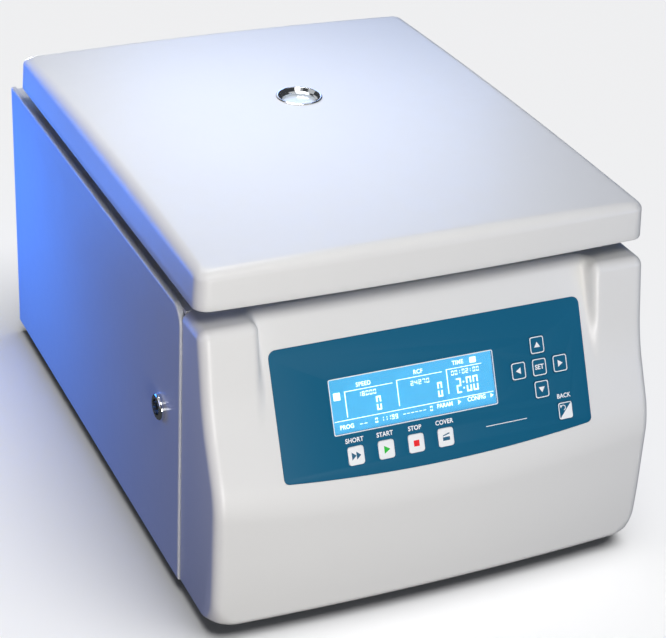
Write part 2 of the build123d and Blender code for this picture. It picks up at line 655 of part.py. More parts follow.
def power_inlet():
    """Appliance inlet with three pins and a slot for the fuse drawer below."""
    x, z, back = INLET_X, INLET_Z, PANEL_BACK
    body = block(x - 13.5, x + 13.5, back - 32, back + 1, z - 22, z + 22)
    body += fillet(block(x - 17, x + 17, back, back + 2, z - 26, z + 26).edges().filter_by(Axis.Y), 3)
    cavity = block(x - 12.2, x + 12.2, back - 16, back + 3, z - 5.5, z + 11)
    body -= chamfer(cavity.edges().filter_by(Axis.Y).group_by(Axis.Z)[-1], 4)
    body -= block(x - 11, x + 11, back - 26, back + 3, z - 19, z - 10)
    for dx, dz in ((-7, 1.5), (7, 1.5), (0, 6.5)):
        body += block(x + dx - 1, x + dx + 1, back - 17, back - 1, z + dz - 2, z + dz + 2)
    return body


def fuse_drawer():
    x, z, back = INLET_X, INLET_Z - 14.5, PANEL_BACK
    drawer = block(x - 10.8, x + 10.8, back - 24, back + 2.2, z - 4.3, z + 4.3)
    drawer -= block(x - 8, x + 8, back - 21, back - 3, z - 1, z + 5)
    return drawer + block(x - 12, x + 12, back + 2.1, back + REAR_PROUD, z - 5.5, z + 5.5)


def switch_frame():
    """Bezel and well of the mains switch."""
    x, z, back = SWITCH_X, SWITCH_Z, PANEL_BACK
    frame = block(x - 10.8, x + 10.8, back - 22, back + 1, z - 14.8, z + 14.8)
    frame += fillet(block(x - 13, x + 13, back, back + 1.6, z - 17, z + 17).edges().filter_by(Axis.Y), 2)
    return frame - block(x - 9, x + 9, back - 14, back + 2, z - 13, z + 13)


def switch_rocker():
    """Rocker in its off position, turning on a pin in the middle of its well."""
    x, z, back = SWITCH_X, SWITCH_Z, PANEL_BACK
    y = back - 6
    rocker = prism_x(x - 8.7, x + 8.7, [
        (y - 4, z - 4), (y - 4, z + 4), (y + 4, z + 11.5), (y + 7.2, z + 11.5), (y + 5, z),
        (y + 7.2, z - 11.5), (y + 4, z - 11.5),
    ])
    return rocker.rotate(Axis((x, y, z), (1, 0, 0)), -8)


def fan_housing():
    """Square fan frame with four struts that hold the hub."""
    y0, y1 = PANEL_BACK - SHEET - 25.2, PANEL_BACK - SHEET - 0.1
    frame = block(
        FAN_X - FAN_HALF, FAN_X + FAN_HALF, y0, y1, FAN_Z - FAN_HALF, FAN_Z + FAN_HALF
    )
    frame = fillet(frame.edges().filter_by(Axis.Y), 5) - rod_y(FAN_X, y0 - 1, y1 + 1, FAN_Z, FAN_R)
    hub = rod_y(FAN_X, y0, y0 + 4, FAN_Z, 19)
    for angle in (45, 135):
        strut = Pos(FAN_X, y0 + 1.5, FAN_Z) * Rot(0, angle, 0) * Box(2 * FAN_R + 2, 3, 5)
        hub += strut
    frame += hub
    return frame + rod_y(FAN_X, y0 + 3, y0 + 20, FAN_Z, 2.5)


def fan_rotor():
    """Hub and seven pitched blades."""
    y0 = PANEL_BACK - SHEET - 20.5
    rotor = rod_y(FAN_X, y0, y0 + 17, FAN_Z, 18)
    for i in range(7):
        blade = Pos(28.5, 0, 0) * Rot(35, 0, 0) * Box(25, 2, 19)
        rotor += Pos(FAN_X, y0 + 8.5, FAN_Z) * Rot(0, 360 / 7 * i, 0) * blade
    return rotor - rod_y(FAN_X, y0 - 1, y0 + 16, FAN_Z, 2.5 + RUNNING)


def fan_guard():
    """Wire guard: three rings on a cross of flat bars."""
    y0, y1 = PANEL_BACK, PANEL_BACK + REAR_PROUD
    guard = rod_y(FAN_X, y0 + 1.5, y1, FAN_Z, 10)
    for angle in (45, 135):
        guard += Pos(FAN_X, (y0 + y1) / 2, FAN_Z) * Rot(0, angle, 0) * Box(112, REAR_PROUD, 3)
    for r in (20, 30, 40):
        guard += rod_y(FAN_X, y0 + 1.5, y1, FAN_Z, r + 1.2) - rod_y(FAN_X, y0, y1 + 1, FAN_Z, r - 1.2)
    return guard


# ---- writing --------------------------------------------------------------------------------
NODES = (
    base_tray, left_side_panel, right_side_panel, rear_panel, case_screws, top_deck, front_bulkhead,
    feet, front_fascia, keypad_overlay, lcd_window, lcd_module, keypad_board, control_board,
    lid_cover, lid_plate, lid_screws, window_ring, window_lens, window_tube, lid_strikers,
    hinge_arms, hinge_brackets, hinge_pins, hinge_springs, lock_shaft, lock_levers, lock_bearings,
    lock_gearmotor, release_bezel, rotor_chamber, chamber_seal, armour_ring, motor_plate,
    motor_dampers, motor_body, motor_shaft, shaft_boot, rotor_body, rotor_clamp_screw, rotor_lid,
    rotor_knob, power_board, power_inlet, fuse_drawer, switch_frame, switch_rocker, fan_housing,
    fan_rotor, fan_guard,
)


def write(name, shape):
    """Write one node, whose solids may be a list."""
    solids = shape if isinstance(shape, list) else [shape]
    whole = Compound(children=[s for item in solids for s in item.solids()])
    export_step(whole, f"parts/{name}.step")


os.makedirs("parts", exist_ok=True)
for node in NODES:
    write(node.__name__, node())
for key_name, key_x, key_s in key_places():
    write(f"key_{key_name}", key(key_x, key_s))
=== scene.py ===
"""Looks of a bench centrifuge with a micro-tube rotor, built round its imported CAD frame.

Lengths are in millimetres in the CAD's own frame, and become metres where a mesh is made.
+Z is up, the control panel faces -Y and +X is to the right seen from the front.
"""

import json
from math import atan2, ceil, cos, pi, radians, sin, sqrt

import bmesh
import bpy
import numpy as np
from mathutils import Matrix, Vector


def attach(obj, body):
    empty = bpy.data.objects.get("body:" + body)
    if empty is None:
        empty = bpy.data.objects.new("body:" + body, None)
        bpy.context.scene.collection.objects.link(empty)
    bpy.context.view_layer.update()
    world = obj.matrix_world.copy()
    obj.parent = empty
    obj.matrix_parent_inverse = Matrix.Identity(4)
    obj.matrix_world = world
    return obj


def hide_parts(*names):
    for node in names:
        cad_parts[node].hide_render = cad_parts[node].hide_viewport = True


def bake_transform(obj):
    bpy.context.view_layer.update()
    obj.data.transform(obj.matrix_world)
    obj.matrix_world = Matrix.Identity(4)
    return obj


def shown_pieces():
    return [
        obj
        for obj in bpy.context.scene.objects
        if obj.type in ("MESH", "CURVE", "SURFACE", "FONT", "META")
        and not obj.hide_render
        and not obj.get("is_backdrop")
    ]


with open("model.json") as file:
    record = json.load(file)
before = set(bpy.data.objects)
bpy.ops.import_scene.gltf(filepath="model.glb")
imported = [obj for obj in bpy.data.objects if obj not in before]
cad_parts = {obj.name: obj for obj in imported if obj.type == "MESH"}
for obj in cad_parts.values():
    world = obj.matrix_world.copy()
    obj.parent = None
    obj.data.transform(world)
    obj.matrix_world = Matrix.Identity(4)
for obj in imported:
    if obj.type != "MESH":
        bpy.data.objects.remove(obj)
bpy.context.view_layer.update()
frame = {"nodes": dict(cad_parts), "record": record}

MM = 0.001

# ---- where things are ---------------------------------------------------------------------
PF = -181.0                    # y of the side panels' front edges
PB = PF + 438.0                # and of their rear edges
BASE = 12.0                    # underside of the casing
DECK = BASE + 236.0
LID_Z, LID_TOP = BASE + 250.0, BASE + 286.5
LID_CROWN = 5500.0
LID_HALF, LID_FRONT, LID_BACK = 184.2, PF - 30.5, PF + 409.0
LID_DRAFT, LID_WALL = radians(3.0), 3.0
AXIS_X, AXIS_Y = 5.0, PF + 232.0
TILT, CHEEK_TILT = radians(24.4), radians(10.6)
PANEL_Y, PANEL_Z = PF - 30.0, BASE + 209.4
DISPLAY = (-85.2, 49.6, 29.4, 70.1)
KEY_W, KEY_H, KEY_PROUD = 13.0, 14.1, 0.7
HINGE_Y, HINGE_Z, HINGE_X = PF + 424.0, BASE + 252.0, 110.0
ROTOR_Z = BASE + 152.0
FAN_X, FAN_Z = -95.0, BASE + 110.0
PRINT_W = 0.2                  # height of the overlay's face over the control plane


# ---- materials ----------------------------------------------------------------------------
def tree_of(name):
    mat = bpy.data.materials.new(name)
    mat.use_nodes = True
    tree = mat.node_tree
    return mat, tree, tree.nodes["Principled BSDF"]


def add(tree, kind, **values):
    """A shader node with some of its inputs and settings filled in."""
    node = tree.nodes.new(kind)
    for key, value in values.items():
        if key in node.inputs:
            node.inputs[key].default_value = value
        else:
            setattr(node, key, value)
    return node


def coordinates(tree, scale=(1, 1, 1), shift=(0, 0, 0), rotation=(0, 0, 0)):
    source = add(tree, "ShaderNodeTexCoord")
    mapping = add(tree, "ShaderNodeMapping", Scale=scale, Location=shift, Rotation=rotation)
    tree.links.new(source.outputs["Object"], mapping.inputs["Vector"])
    return mapping.outputs["Vector"]


def noise(tree, vector, scale, detail=3.0, rough=0.55):
    node = add(tree, "ShaderNodeTexNoise", Scale=scale, Detail=detail, Roughness=rough)
    tree.links.new(vector, node.inputs["Vector"])
    return node.outputs["Fac"]


def spread(tree, value, low, high, start=0.3, end=0.7):
    node = add(tree, "ShaderNodeMapRange")
    node.inputs["From Min"].default_value = start
    node.inputs["From Max"].default_value = end
    node.inputs["To Min"].default_value = low
    node.inputs["To Max"].default_value = high
    tree.links.new(value, node.inputs["Value"])
    return node.outputs["Result"]


def between(tree, factor, first, second):
    """Colour between two colours, which may be sockets or values."""
    node = tree.nodes.new("ShaderNodeMix")
    node.data_type = "RGBA"
    tree.links.new(factor, node.inputs["Factor"])
    for socket, value in ((node.inputs[6], first), (node.inputs[7], second)):
        if hasattr(value, "links"):
            tree.links.new(value, socket)
        else:
            socket.default_value = (*value, 1.0)
    return node.outputs[2]


def bump(tree, shader, height, strength, distance):
    node = add(tree, "ShaderNodeBump", Strength=strength, Distance=distance)
    tree.links.new(height, node.inputs["Height"])
    tree.links.new(node.outputs["Normal"], shader.inputs["Normal"])


def shade(colour, factor):
    return tuple(min(1.0, c * factor) for c in colour)


def surface(
    name, colour, rough, metal=0.0, grain=1500.0, relief=0.00002, mottle=0.05, spread_rough=0.05,
    stretch=(1, 1, 1), sockets=None,
):
    """Finish with fine grain in its relief, slow colour mottling and uneven gloss."""
    mat, tree, shader = tree_of(name)
    fine = noise(tree, coordinates(tree, stretch), grain, 4.0)
    slow = noise(tree, coordinates(tree), 9.0, 3.0)
    middle = noise(tree, coordinates(tree, stretch), 90.0, 4.0)
    tone = between(tree, spread(tree, slow, 0, 1), shade(colour, 1 - mottle), shade(colour, 1 + mottle))
    speck = between(tree, spread(tree, fine, 0, 1), shade(colour, 1 - mottle), shade(colour, 1 + mottle / 2))
    mixed = between(tree, spread(tree, middle, 0.25, 0.75), tone, speck)
    tree.links.new(mixed, shader.inputs["Base Color"])
    gloss = spread(tree, middle, max(0.02, rough - spread_rough), rough + spread_rough)
    tree.links.new(gloss, shader.inputs["Roughness"])
    shader.inputs["Metallic"].default_value = metal
    for key, value in (sockets or {}).items():
        shader.inputs[key].default_value = value
    bump(tree, shader, fine, 0.6, relief)
    return mat


def turned_metal(name, colour, rough, pitch, centre=(AXIS_X, AXIS_Y)):
    """Metal with fine lathe rings round a vertical axis."""
    mat, tree, shader = tree_of(name)
    place = coordinates(tree, shift=(-centre[0] * MM, -centre[1] * MM, 0))
    rings = add(
        tree, "ShaderNodeTexWave", wave_type="RINGS", rings_direction="Z", Scale=1 / (pitch * MM) / 2,
        Distortion=0.6, Detail=2.0,
    )
    rings.inputs["Detail Scale"].default_value = 40.0
    tree.links.new(place, rings.inputs["Vector"])
    slow = noise(tree, place, 25.0)
    tone = between(tree, spread(tree, slow, 0, 1), shade(colour, 0.93), shade(colour, 1.06))
    streak = between(tree, rings.outputs["Fac"], shade(colour, 0.9), shade(colour, 1.05))
    mixed = between(tree, spread(tree, slow, 0.3, 0.6), tone, streak)
    tree.links.new(mixed, shader.inputs["Base Color"])
    shader.inputs["Metallic"].default_value = 1.0
    roughness = spread(tree, rings.outputs["Fac"], rough - 0.05, rough + 0.08, 0, 1)
    tree.links.new(roughness, shader.inputs["Roughness"])
    bump(tree, shader, rings.outputs["Fac"], 0.35, 0.00001)
    return mat


def circuit(name):
    """Solder mask with copper tracks showing through."""
    mat, tree, shader = tree_of(name)
    place = coordinates(tree)
    tracks = add(tree, "ShaderNodeTexBrick", Scale=160.0, offset=0.35)
    tracks.inputs["Mortar Size"].default_value = 0.09
    tree.links.new(place, tracks.inputs["Vector"])
    grain = noise(tree, place, 500.0)
    mask = between(tree, spread(tree, grain, 0, 1), (0.012, 0.11, 0.045), (0.02, 0.16, 0.06))
    tone = between(tree, tracks.outputs["Fac"], mask, (0.045, 0.24, 0.09))
    tree.links.new(tone, shader.inputs["Base Color"])
    tree.links.new(spread(tree, grain, 0.25, 0.4), shader.inputs["Roughness"])
    bump(tree, shader, tracks.outputs["Fac"], 0.4, 0.00003)
    return mat


def clear(name, tint, rough=0.03, through=1.0, index=1.49):
    """Clear or hazy plastic with faint wipe marks."""
    mat, tree, shader = tree_of(name)
    wipes = noise(tree, coordinates(tree, (1, 6, 1)), 60.0, 4.0)
    tree.links.new(spread(tree, wipes, rough, rough + 0.05), shader.inputs["Roughness"])
    haze = between(tree, spread(tree, wipes, 0, 1), tint, shade(tint, 0.97))
    tree.links.new(haze, shader.inputs["Base Color"])
    shader.inputs["Transmission Weight"].default_value = through
    shader.inputs["IOR"].default_value = index
    bump(tree, shader, wipes, 0.05, 0.00001)
    return mat


def backlit(name, low, high, strength):
    """Lit display film: brighter towards one edge, with faint unevenness."""
    mat, tree, shader = tree_of(name)
    place = coordinates(tree)
    axes = add(tree, "ShaderNodeSeparateXYZ")
    tree.links.new(place, axes.inputs["Vector"])
    across = spread(tree, axes.outputs["X"], 0, 1, DISPLAY[0] * MM, DISPLAY[1] * MM)
    slow = noise(tree, place, 30.0)
    both = add(tree, "ShaderNodeMath", operation="MULTIPLY_ADD")
    tree.links.new(slow, both.inputs[0])
    both.inputs[1].default_value = 0.35
    tree.links.new(across, both.inputs[2])
    glow = between(tree, both.outputs[0], low, high)
    tree.links.new(glow, shader.inputs["Emission Color"])
    tree.links.new(glow, shader.inputs["Base Color"])
    shader.inputs["Emission Strength"].default_value = strength
    shader.inputs["Roughness"].default_value = 0.4
    return mat


OFF_WHITE = (0.80, 0.795, 0.77)
TEAL = (0.0045, 0.113, 0.212)
FINISHES = {
    "casing_plastic": surface(
        "casing_plastic", OFF_WHITE, 0.40, grain=2200.0, relief=0.000012, mottle=0.012,
        sockets={"Coat Weight": 0.12, "Coat Roughness": 0.25},
    ),
    "panel_paint": surface(
        "panel_paint", (0.70, 0.71, 0.73), 0.36, grain=1300.0, relief=0.00002, mottle=0.02,
        sockets={"Coat Weight": 0.2, "Coat Roughness": 0.2},
    ),
    "steel_sheet": surface(
        "steel_sheet", (0.58, 0.59, 0.60), 0.38, 1.0, grain=700.0, relief=0.00001, mottle=0.08,
        stretch=(0.08, 1, 1),
    ),
    "chamber_steel": turned_metal("chamber_steel", (0.62, 0.63, 0.64), 0.26, 0.8),
    "chrome": surface("chrome", (0.78, 0.79, 0.80), 0.10, 1.0, grain=400.0, relief=0.000004, mottle=0.03),
    "lens_clear": clear("lens_clear", (0.93, 0.96, 0.97)),
    "rubber_black": surface(
        "rubber_black", (0.022, 0.022, 0.024), 0.62, grain=1100.0, relief=0.00004, mottle=0.2,
    ),
    "overlay_teal": surface(
        "overlay_teal", TEAL, 0.5, grain=2600.0, relief=0.000008, mottle=0.03,
        sockets={"Specular IOR Level": 0.2},
    ),
    "key_white": surface("key_white", (0.93, 0.94, 0.93), 0.30, grain=1800.0, relief=0.000006, mottle=0.012),
    "key_teal": surface(
        "key_teal", TEAL, 0.45, grain=2600.0, relief=0.000008, mottle=0.04,
        sockets={"Specular IOR Level": 0.25},
    ),
    "display_blue": backlit("display_blue", (0.050, 0.320, 0.555), (0.060, 0.330, 0.575), 0.80),
    "board_green": circuit("board_green"),
    "anodised": turned_metal("anodised", (0.50, 0.52, 0.55), 0.34, 0.5),
    "knob_black": surface("knob_black", (0.03, 0.03, 0.034), 0.42, grain=1500.0, relief=0.00003, mottle=0.15),
    "spring_steel": surface(
        "spring_steel", (0.46, 0.46, 0.48), 0.30, 1.0, grain=500.0, relief=0.00001, mottle=0.12,
        stretch=(1, 0.2, 1),
    ),
    "motor_paint": surface(
        "motor_paint", (0.045, 0.045, 0.05), 0.5, grain=900.0, relief=0.00004, mottle=0.15,
    ),
    "black_plastic": surface(
        "black_plastic", (0.028, 0.028, 0.031), 0.45, grain=1600.0, relief=0.00003, mottle=0.12,
    ),
    "cast_guard": surface(
        "cast_guard", (0.13, 0.13, 0.14), 0.6, 0.3, grain=350.0, relief=0.0001, mottle=0.25,
    ),
}
INK_WHITE = surface("ink_white", (0.93, 0.94, 0.94), 0.5, grain=3000.0, relief=0.000004, mottle=0.02)
INK_GREEN = surface("ink_green", (0.015, 0.55, 0.03), 0.5, grain=3000.0, relief=0.000004, mottle=0.04)
INK_RED = surface("ink_red", (0.90, 0.010, 0.012), 0.5, grain=3000.0, relief=0.000004, mottle=0.04)
INK_TEAL = surface("ink_teal", TEAL, 0.5, grain=3000.0, relief=0.000004, mottle=0.04)
SIGHT_PANE = clear("sight_pane", (0.86, 0.92, 0.98), 0.14, 0.45)
DISPLAY_PANE = clear("display_pane", (0.97, 0.98, 0.98), 0.16, 1.0, 1.2)
LCD_MARK = backlit("lcd_mark", (0.80, 0.93, 1.0), (0.72, 0.88, 1.0), 0.95)


# ---- building pieces ----------------------------------------------------------------------
def piece(name, points, faces, body, slot, smooth=35.0, mat=None, replaces=()):
    """Mesh piece from points in millimetres, shaded smooth up to an angle, riding on a body."""
    mesh = bpy.data.meshes.new(name)
    mesh.from_pydata((np.asarray(points, float) * MM).tolist(), [], [tuple(int(i) for i in f) for f in faces])
    bm = bmesh.new()
    bm.from_mesh(mesh)
    bmesh.ops.remove_doubles(bm, verts=bm.verts, dist=1e-7)
    bmesh.ops.recalc_face_normals(bm, faces=bm.faces)
    bm.to_mesh(mesh)
    bm.free()
    mesh.shade_smooth()
    mesh.set_sharp_from_angle(angle=radians(smooth))
    mesh.materials.append(mat or FINISHES[slot])
    obj = bpy.data.objects.new(name, mesh)
    bpy.context.scene.collection.objects.link(obj)
    if body:
        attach(obj, body)
    if replaces:
        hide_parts(*replaces)
    return obj


def joined(parts):
    """One list of points and one of faces from several (points, faces) pairs."""
    points, faces, start = [], [], 0
    for p, f in parts:
        p = np.asarray(p, float)
        points.append(p)
        faces += [tuple(i + start for i in face) for face in f]
        start += len(p)
    return np.vstack(points), faces


def bands(rows, columns, closed_rows=False, closed_columns=True):
    """Quads between the rows of a grid of points."""
    faces = []
    for i in range(rows if closed_rows else rows - 1):
        for j in range(columns if closed_columns else columns - 1):
            a, b = i * columns, (i + 1) % rows * columns
            k = (j + 1) % columns
            faces.append((a + j, a + k, b + k, b + j))
    return faces


def softened(points, radius, steps=5, closed=True):
    """Outline whose corners are arcs; radius is one number, or one for each corner."""
    pts = [np.array(p, float) for p in points]
    count = len(pts)
    radii = [radius] * count if np.isscalar(radius) else list(radius)
    out = []
    for i, p in enumerate(pts):
        r = radii[i]
        if r <= 0 or (not closed and i in (0, count - 1)):
            out.append(p)
            continue
        a, b = pts[i - 1] - p, pts[(i + 1) % count] - p
        la, lb = np.linalg.norm(a), np.linalg.norm(b)
        a, b = a / la, b / lb
        half = np.arccos(np.clip(a @ b, -1, 1)) / 2
        if half > pi / 2 - 0.03:
            out.append(p)
            continue
        reach = min(r / np.tan(half), 0.49 * la, 0.49 * lb)
        r = reach * np.tan(half)
        bisector = (a + b) / np.linalg.norm(a + b)
        centre = p + bisector * (r / np.sin(half))
        start, end = p + a * reach - centre, p + b * reach - centre
        turn = np.arccos(np.clip(start @ end / r ** 2, -1, 1))
        for k in range(steps + 1):
            t = k / steps
            mix = (np.sin((1 - t) * turn) * start + np.sin(t * turn) * end) / np.sin(turn)
            out.append(centre + mix)
    return np.array(out)


def lathe(profile, x, y, z, radius=0.6, segments=128, axis="Z", steps=4):
    """Points and faces of a solid of revolution from a closed (radius, height) outline."""
    outline = softened(profile, radius, steps)
    outline[:, 0] = np.maximum(outline[:, 0], 0.0)
    angles = np.arange(segments) * 2 * pi / segments
    r, h = outline[:, 0][:, None], outline[:, 1][:, None] + 0 * angles[None, :]
    u, v = r * np.cos(angles), r * np.sin(angles)
    order = {"Z": (u, v, h), "Y": (u, h, v), "X": (h, u, v)}[axis]
    points = np.stack(order, -1).reshape(-1, 3) + np.array((x, y, z))
    return points, bands(len(outline), segments, closed_rows=True)


def slab(outline, low, high, edge, place, steps=3):
    """Plate with rounded upper and lower edges from a dense outline; place maps (u, v, w)."""
    outline = np.asarray(outline, float)
    ahead, behind = np.roll(outline, -1, 0), np.roll(outline, 1, 0)
    tangent = ahead - behind
    normal = np.stack((tangent[:, 1], -tangent[:, 0]), 1)
    normal /= np.linalg.norm(normal, axis=1)[:, None]
    area = np.sum(outline[:, 0] * ahead[:, 1] - ahead[:, 0] * outline[:, 1])
    normal *= 1 if area > 0 else -1
    rings = []
    for level, sign in ((low, 1), (high, -1)):
        arc = [(edge * (1 - sin(t)), edge * (1 - cos(t))) for t in np.linspace(0, pi / 2, steps + 1)]
        arc = arc if sign > 0 else arc[::-1]
        for inset, rise in arc:
            flat = outline - normal * inset
            rings.append(np.column_stack((flat, np.full(len(flat), level + sign * rise))))
    points = np.vstack(rings)
    n = len(outline)
    faces = bands(len(rings), n)
    faces.append(tuple(range(n - 1, -1, -1)))
    faces.append(tuple(range((len(rings) - 1) * n, len(rings) * n)))
    return place(points), faces


def tube(path, radius, sides=14, closed=False):
    """Points and faces of a round wire along a path."""
    path = np.asarray(path, float)
    if closed:
        tangent = np.roll(path, -1, 0) - np.roll(path, 1, 0)
    else:
        tangent = np.gradient(path, axis=0)
    tangent /= np.linalg.norm(tangent, axis=1)[:, None]
    side = np.cross(tangent[0], (0.3, 0.5, 0.81))
    rings = []
    for p, t in zip(path, tangent):
        side = side - t * (side @ t)
        side /= np.linalg.norm(side)
        other = np.cross(t, side)
        angles = np.arange(sides) * 2 * pi / sides
        rings.append(p + radius * (np.cos(angles)[:, None] * side + np.sin(angles)[:, None] * other))
    faces = bands(len(path), sides, closed_rows=closed)
    if not closed:
        faces.append(tuple(range(sides - 1, -1, -1)))
        faces.append(tuple(range((len(path) - 1) * sides, len(path) * sides)))
    return np.vstack(rings), faces


def on_panel(points):
    """Row-frame points from (x, s down the slope, w out of the face) in the control plane."""
    p = np.asarray(points, float)
    x, s, w = p[:, 0], p[:, 1], p[:, 2]
    y = PANEL_Y - s * sin(TILT) - w * cos(TILT)
    z = PANEL_Z - s * cos(TILT) + w * sin(TILT)
    return np.column_stack((x, y, z))


def filled(loops, thick, bevel=0.0):
    """Points and faces of a flat plate bounded by loops, of which the inner ones are holes."""
    curve = bpy.data.curves.new("flat", "CURVE")
    curve.dimensions = "2D"
    curve.fill_mode = "BOTH"
    curve.extrude = thick / 2 - bevel
    curve.bevel_depth = bevel
    curve.bevel_resolution = 2
    curve.offset = -bevel
    for loop in loops:
        spline = curve.splines.new("POLY")
        spline.points.add(len(loop) - 1)
        points = np.column_stack((loop, np.zeros(len(loop)), np.ones(len(loop))))
        spline.points.foreach_set("co", points.ravel())
        spline.use_cyclic_u = True
    return meshed(curve)


def meshed(curve):
    """Points and faces of a curve or text block, which is then removed."""
    obj = bpy.data.objects.new("temporary", curve)
    bpy.context.scene.collection.objects.link(obj)
    bpy.context.view_layer.update()
    mesh = bpy.data.meshes.new_from_object(obj.evaluated_get(bpy.context.evaluated_depsgraph_get()))
    points = np.array([v.co for v in mesh.vertices], float).reshape(-1, 3)
    faces = [tuple(p.vertices) for p in mesh.polygons]
    bpy.data.objects.remove(obj)
    bpy.data.meshes.remove(mesh)
    return points, faces


def panel_plate(loops, low, high, bevel=0.0):
    """Plate in the control plane from loops of (x, s)."""
    points, faces = filled([np.asarray(loop, float) for loop in loops], high - low, bevel)
    points[:, 2] += (low + high) / 2
    return on_panel(points), faces


def box_loop(x0, x1, s0, s1, corner=0.0, steps=6):
    return softened([(x0, s0), (x1, s0), (x1, s1), (x0, s1)], corner, steps)


def word(text, size, x, s, low, high, spacing=1.0, narrow=1.0):
    """Lettering centred on (x, s) in the control plane."""
    curve = bpy.data.curves.new("word", "FONT")
    curve.body = text
    curve.size = size
    curve.space_character = spacing
    curve.align_x, curve.align_y = "CENTER", "CENTER"
    curve.extrude = (high - low) / 2
    curve.offset = 0.028 * size
    points, faces = meshed(curve)
    points[:, 0] = points[:, 0] * narrow + x
    points[:, 1] = s - points[:, 1]
    points[:, 2] += (low + high) / 2
    return on_panel(points), faces


# ---- lid ----------------------------------------------------------------------------------
def lid_outline(inset, z, side_steps=40, corner_steps=10):
    """Closed plan outline of the lid at an inset, starting at the middle of its front edge."""
    half = LID_HALF - inset
    y0, y1 = LID_FRONT + inset, LID_BACK - inset
    front_r, back_r = max(11.0 - 0.5 * inset, 3.0), max(8.0 - 0.4 * inset, 3.0)
    bow = 4.5

    def corner(cx, cy, r, start):
        return [
            (cx + r * cos(start + pi / 2 * k / corner_steps), cy + r * sin(start + pi / 2 * k / corner_steps))
            for k in range(corner_steps + 1)
        ]

    points = []
    for k in range(side_steps):
        points.append(((half - front_r) * k / side_steps, y0))
    points += corner(half - front_r, y0 + front_r, front_r, -pi / 2)
    for k in range(1, side_steps * 2):
        points.append((half, y0 + front_r + (y1 - back_r - y0 - front_r) * k / (2 * side_steps)))
    points += corner(half - back_r, y1 - back_r, back_r, 0)
    for k in range(1, side_steps * 2):
        points.append(((half - back_r) * (1 - k / side_steps), y1))
    points += corner(-half + back_r, y1 - back_r, back_r, pi / 2)
    for k in range(1, side_steps * 2):
        points.append((-half, y1 - back_r - (y1 - back_r - y0 - front_r) * k / (2 * side_steps)))
    points += corner(-half + front_r, y0 + front_r, front_r, pi)
    for k in range(1, side_steps):
        points.append((-(half - front_r) * (1 - k / side_steps), y0))
    points = np.array(points)
    forward = np.clip((LID_FRONT + 60 - points[:, 1]) / 60, 0, 1)
    points[:, 1] -= bow * (1 - (points[:, 0] / LID_HALF) ** 2) * forward
    return np.column_stack((points, np.full(len(points), z)))


def lid_crown(points, drop=0.0):
    """Height of the domed top over plan points."""
    middle = (LID_FRONT + LID_BACK) / 2
    reach = points[:, 0] ** 2 + (points[:, 1] - middle) ** 2
    return LID_TOP - drop - reach / (2 * LID_CROWN)


def lid_skin(inset, top_drop, rim_z, edge, hole):
    """Rings of one skin of the lid from its rim up over the edge and in to the sight-glass hole."""
    rings = []
    shoulder = LID_TOP - top_drop - 4.2 - edge
    for t in np.linspace(0, 1, 5):
        z = rim_z + (shoulder - rim_z) * t
        rings.append(lid_outline(inset + (z - LID_Z) * np.tan(LID_DRAFT), z))
    lean = inset + (shoulder - LID_Z) * np.tan(LID_DRAFT)
    for t in np.linspace(0, pi / 2, 13)[1:]:
        ring = lid_outline(lean + edge * (1 - cos(t)), 0)
        top = lid_crown(ring, top_drop)
        blend = sin(t)
        ring[:, 2] = shoulder + (top - shoulder) * blend
        rings.append(ring)
    last = rings[-1]
    centre = np.array((AXIS_X, AXIS_Y))
    direction = last[:, :2] - centre
    direction /= np.linalg.norm(direction, axis=1)[:, None]
    circle = centre + hole * direction
    for t in np.linspace(0, 1, 34)[1:]:
        ring = last.copy()
        ring[:, :2] = last[:, :2] * (1 - t) + circle * t
        ring[:, 2] = lid_crown(ring, top_drop)
        rings.append(ring)
    return rings


def make_lid():
    outer = lid_skin(0.0, 0.0, LID_Z + 1.2, 9.5, 17.6)
    inner = lid_skin(LID_WALL, LID_WALL, LID_Z + 0.8, 6.5, 17.6)
    lip = [
        lid_outline(0.35, LID_Z + 0.35), lid_outline(1.2, LID_Z), lid_outline(LID_WALL - 0.8, LID_Z),
        lid_outline(LID_WALL - 0.2, LID_Z + 0.25),
    ]
    rings = outer[::-1] + lip + inner
    points = np.vstack(rings)
    faces = bands(len(rings), len(rings[0]), closed_rows=True)
    piece("lid_shell", points, faces, "lid", "casing_plastic", 50, replaces=("lid_cover",))
    bosses = []
    for x in (-140.0, 140.0):
        for y in (PF + 30, PF + 195, PF + 360):
            top = float(lid_crown(np.array([[x, y]]), LID_WALL + 0.3)[0])
            bosses.append(lathe(
                [(2.05, BASE + 245), (6, BASE + 245), (6.8, top), (2.05, top)], x, y, 0, 0.3, 40
            ))
    piece("lid_bosses", *joined(bosses), "lid", "casing_plastic")


def make_sight_glass():
    ring = [
        (14.0, -2.8), (15.6, -1.9), (17.6, 1.0), (18.4, 1.3), (19.5, 0.6), (19.5, 0.0), (17.3, -0.6),
        (17.3, -12), (12, -12), (12, -8), (14, -8),
    ]
    piece("sight_ring", *lathe(ring, AXIS_X, AXIS_Y, LID_TOP, 0.35, 160), "lid", "chrome",
          replaces=("window_ring",))
    lens = [(0, -8), (13.9, -8), (13.9, -4.6), (12.5, -3.9), (6, -3.3), (0, -3.1)]
    piece("sight_lens", *lathe(lens, AXIS_X, AXIS_Y, LID_TOP, 0.25, 128), "lid", "lens_clear",
          mat=SIGHT_PANE, replaces=("window_lens",))


# ---- fascia -------------------------------------------------------------------------------
FASCIA_HALF, CORNER, CHEEK_INNER = 183.4, 8.0, 137.3


def round_max(a, b, r):
    """Intersection of two inside-negative fields with a rounded edge."""
    u, v = np.maximum(r + a, 0), np.maximum(r + b, 0)
    return np.minimum(-r, np.maximum(a, b)) + np.hypot(u, v)


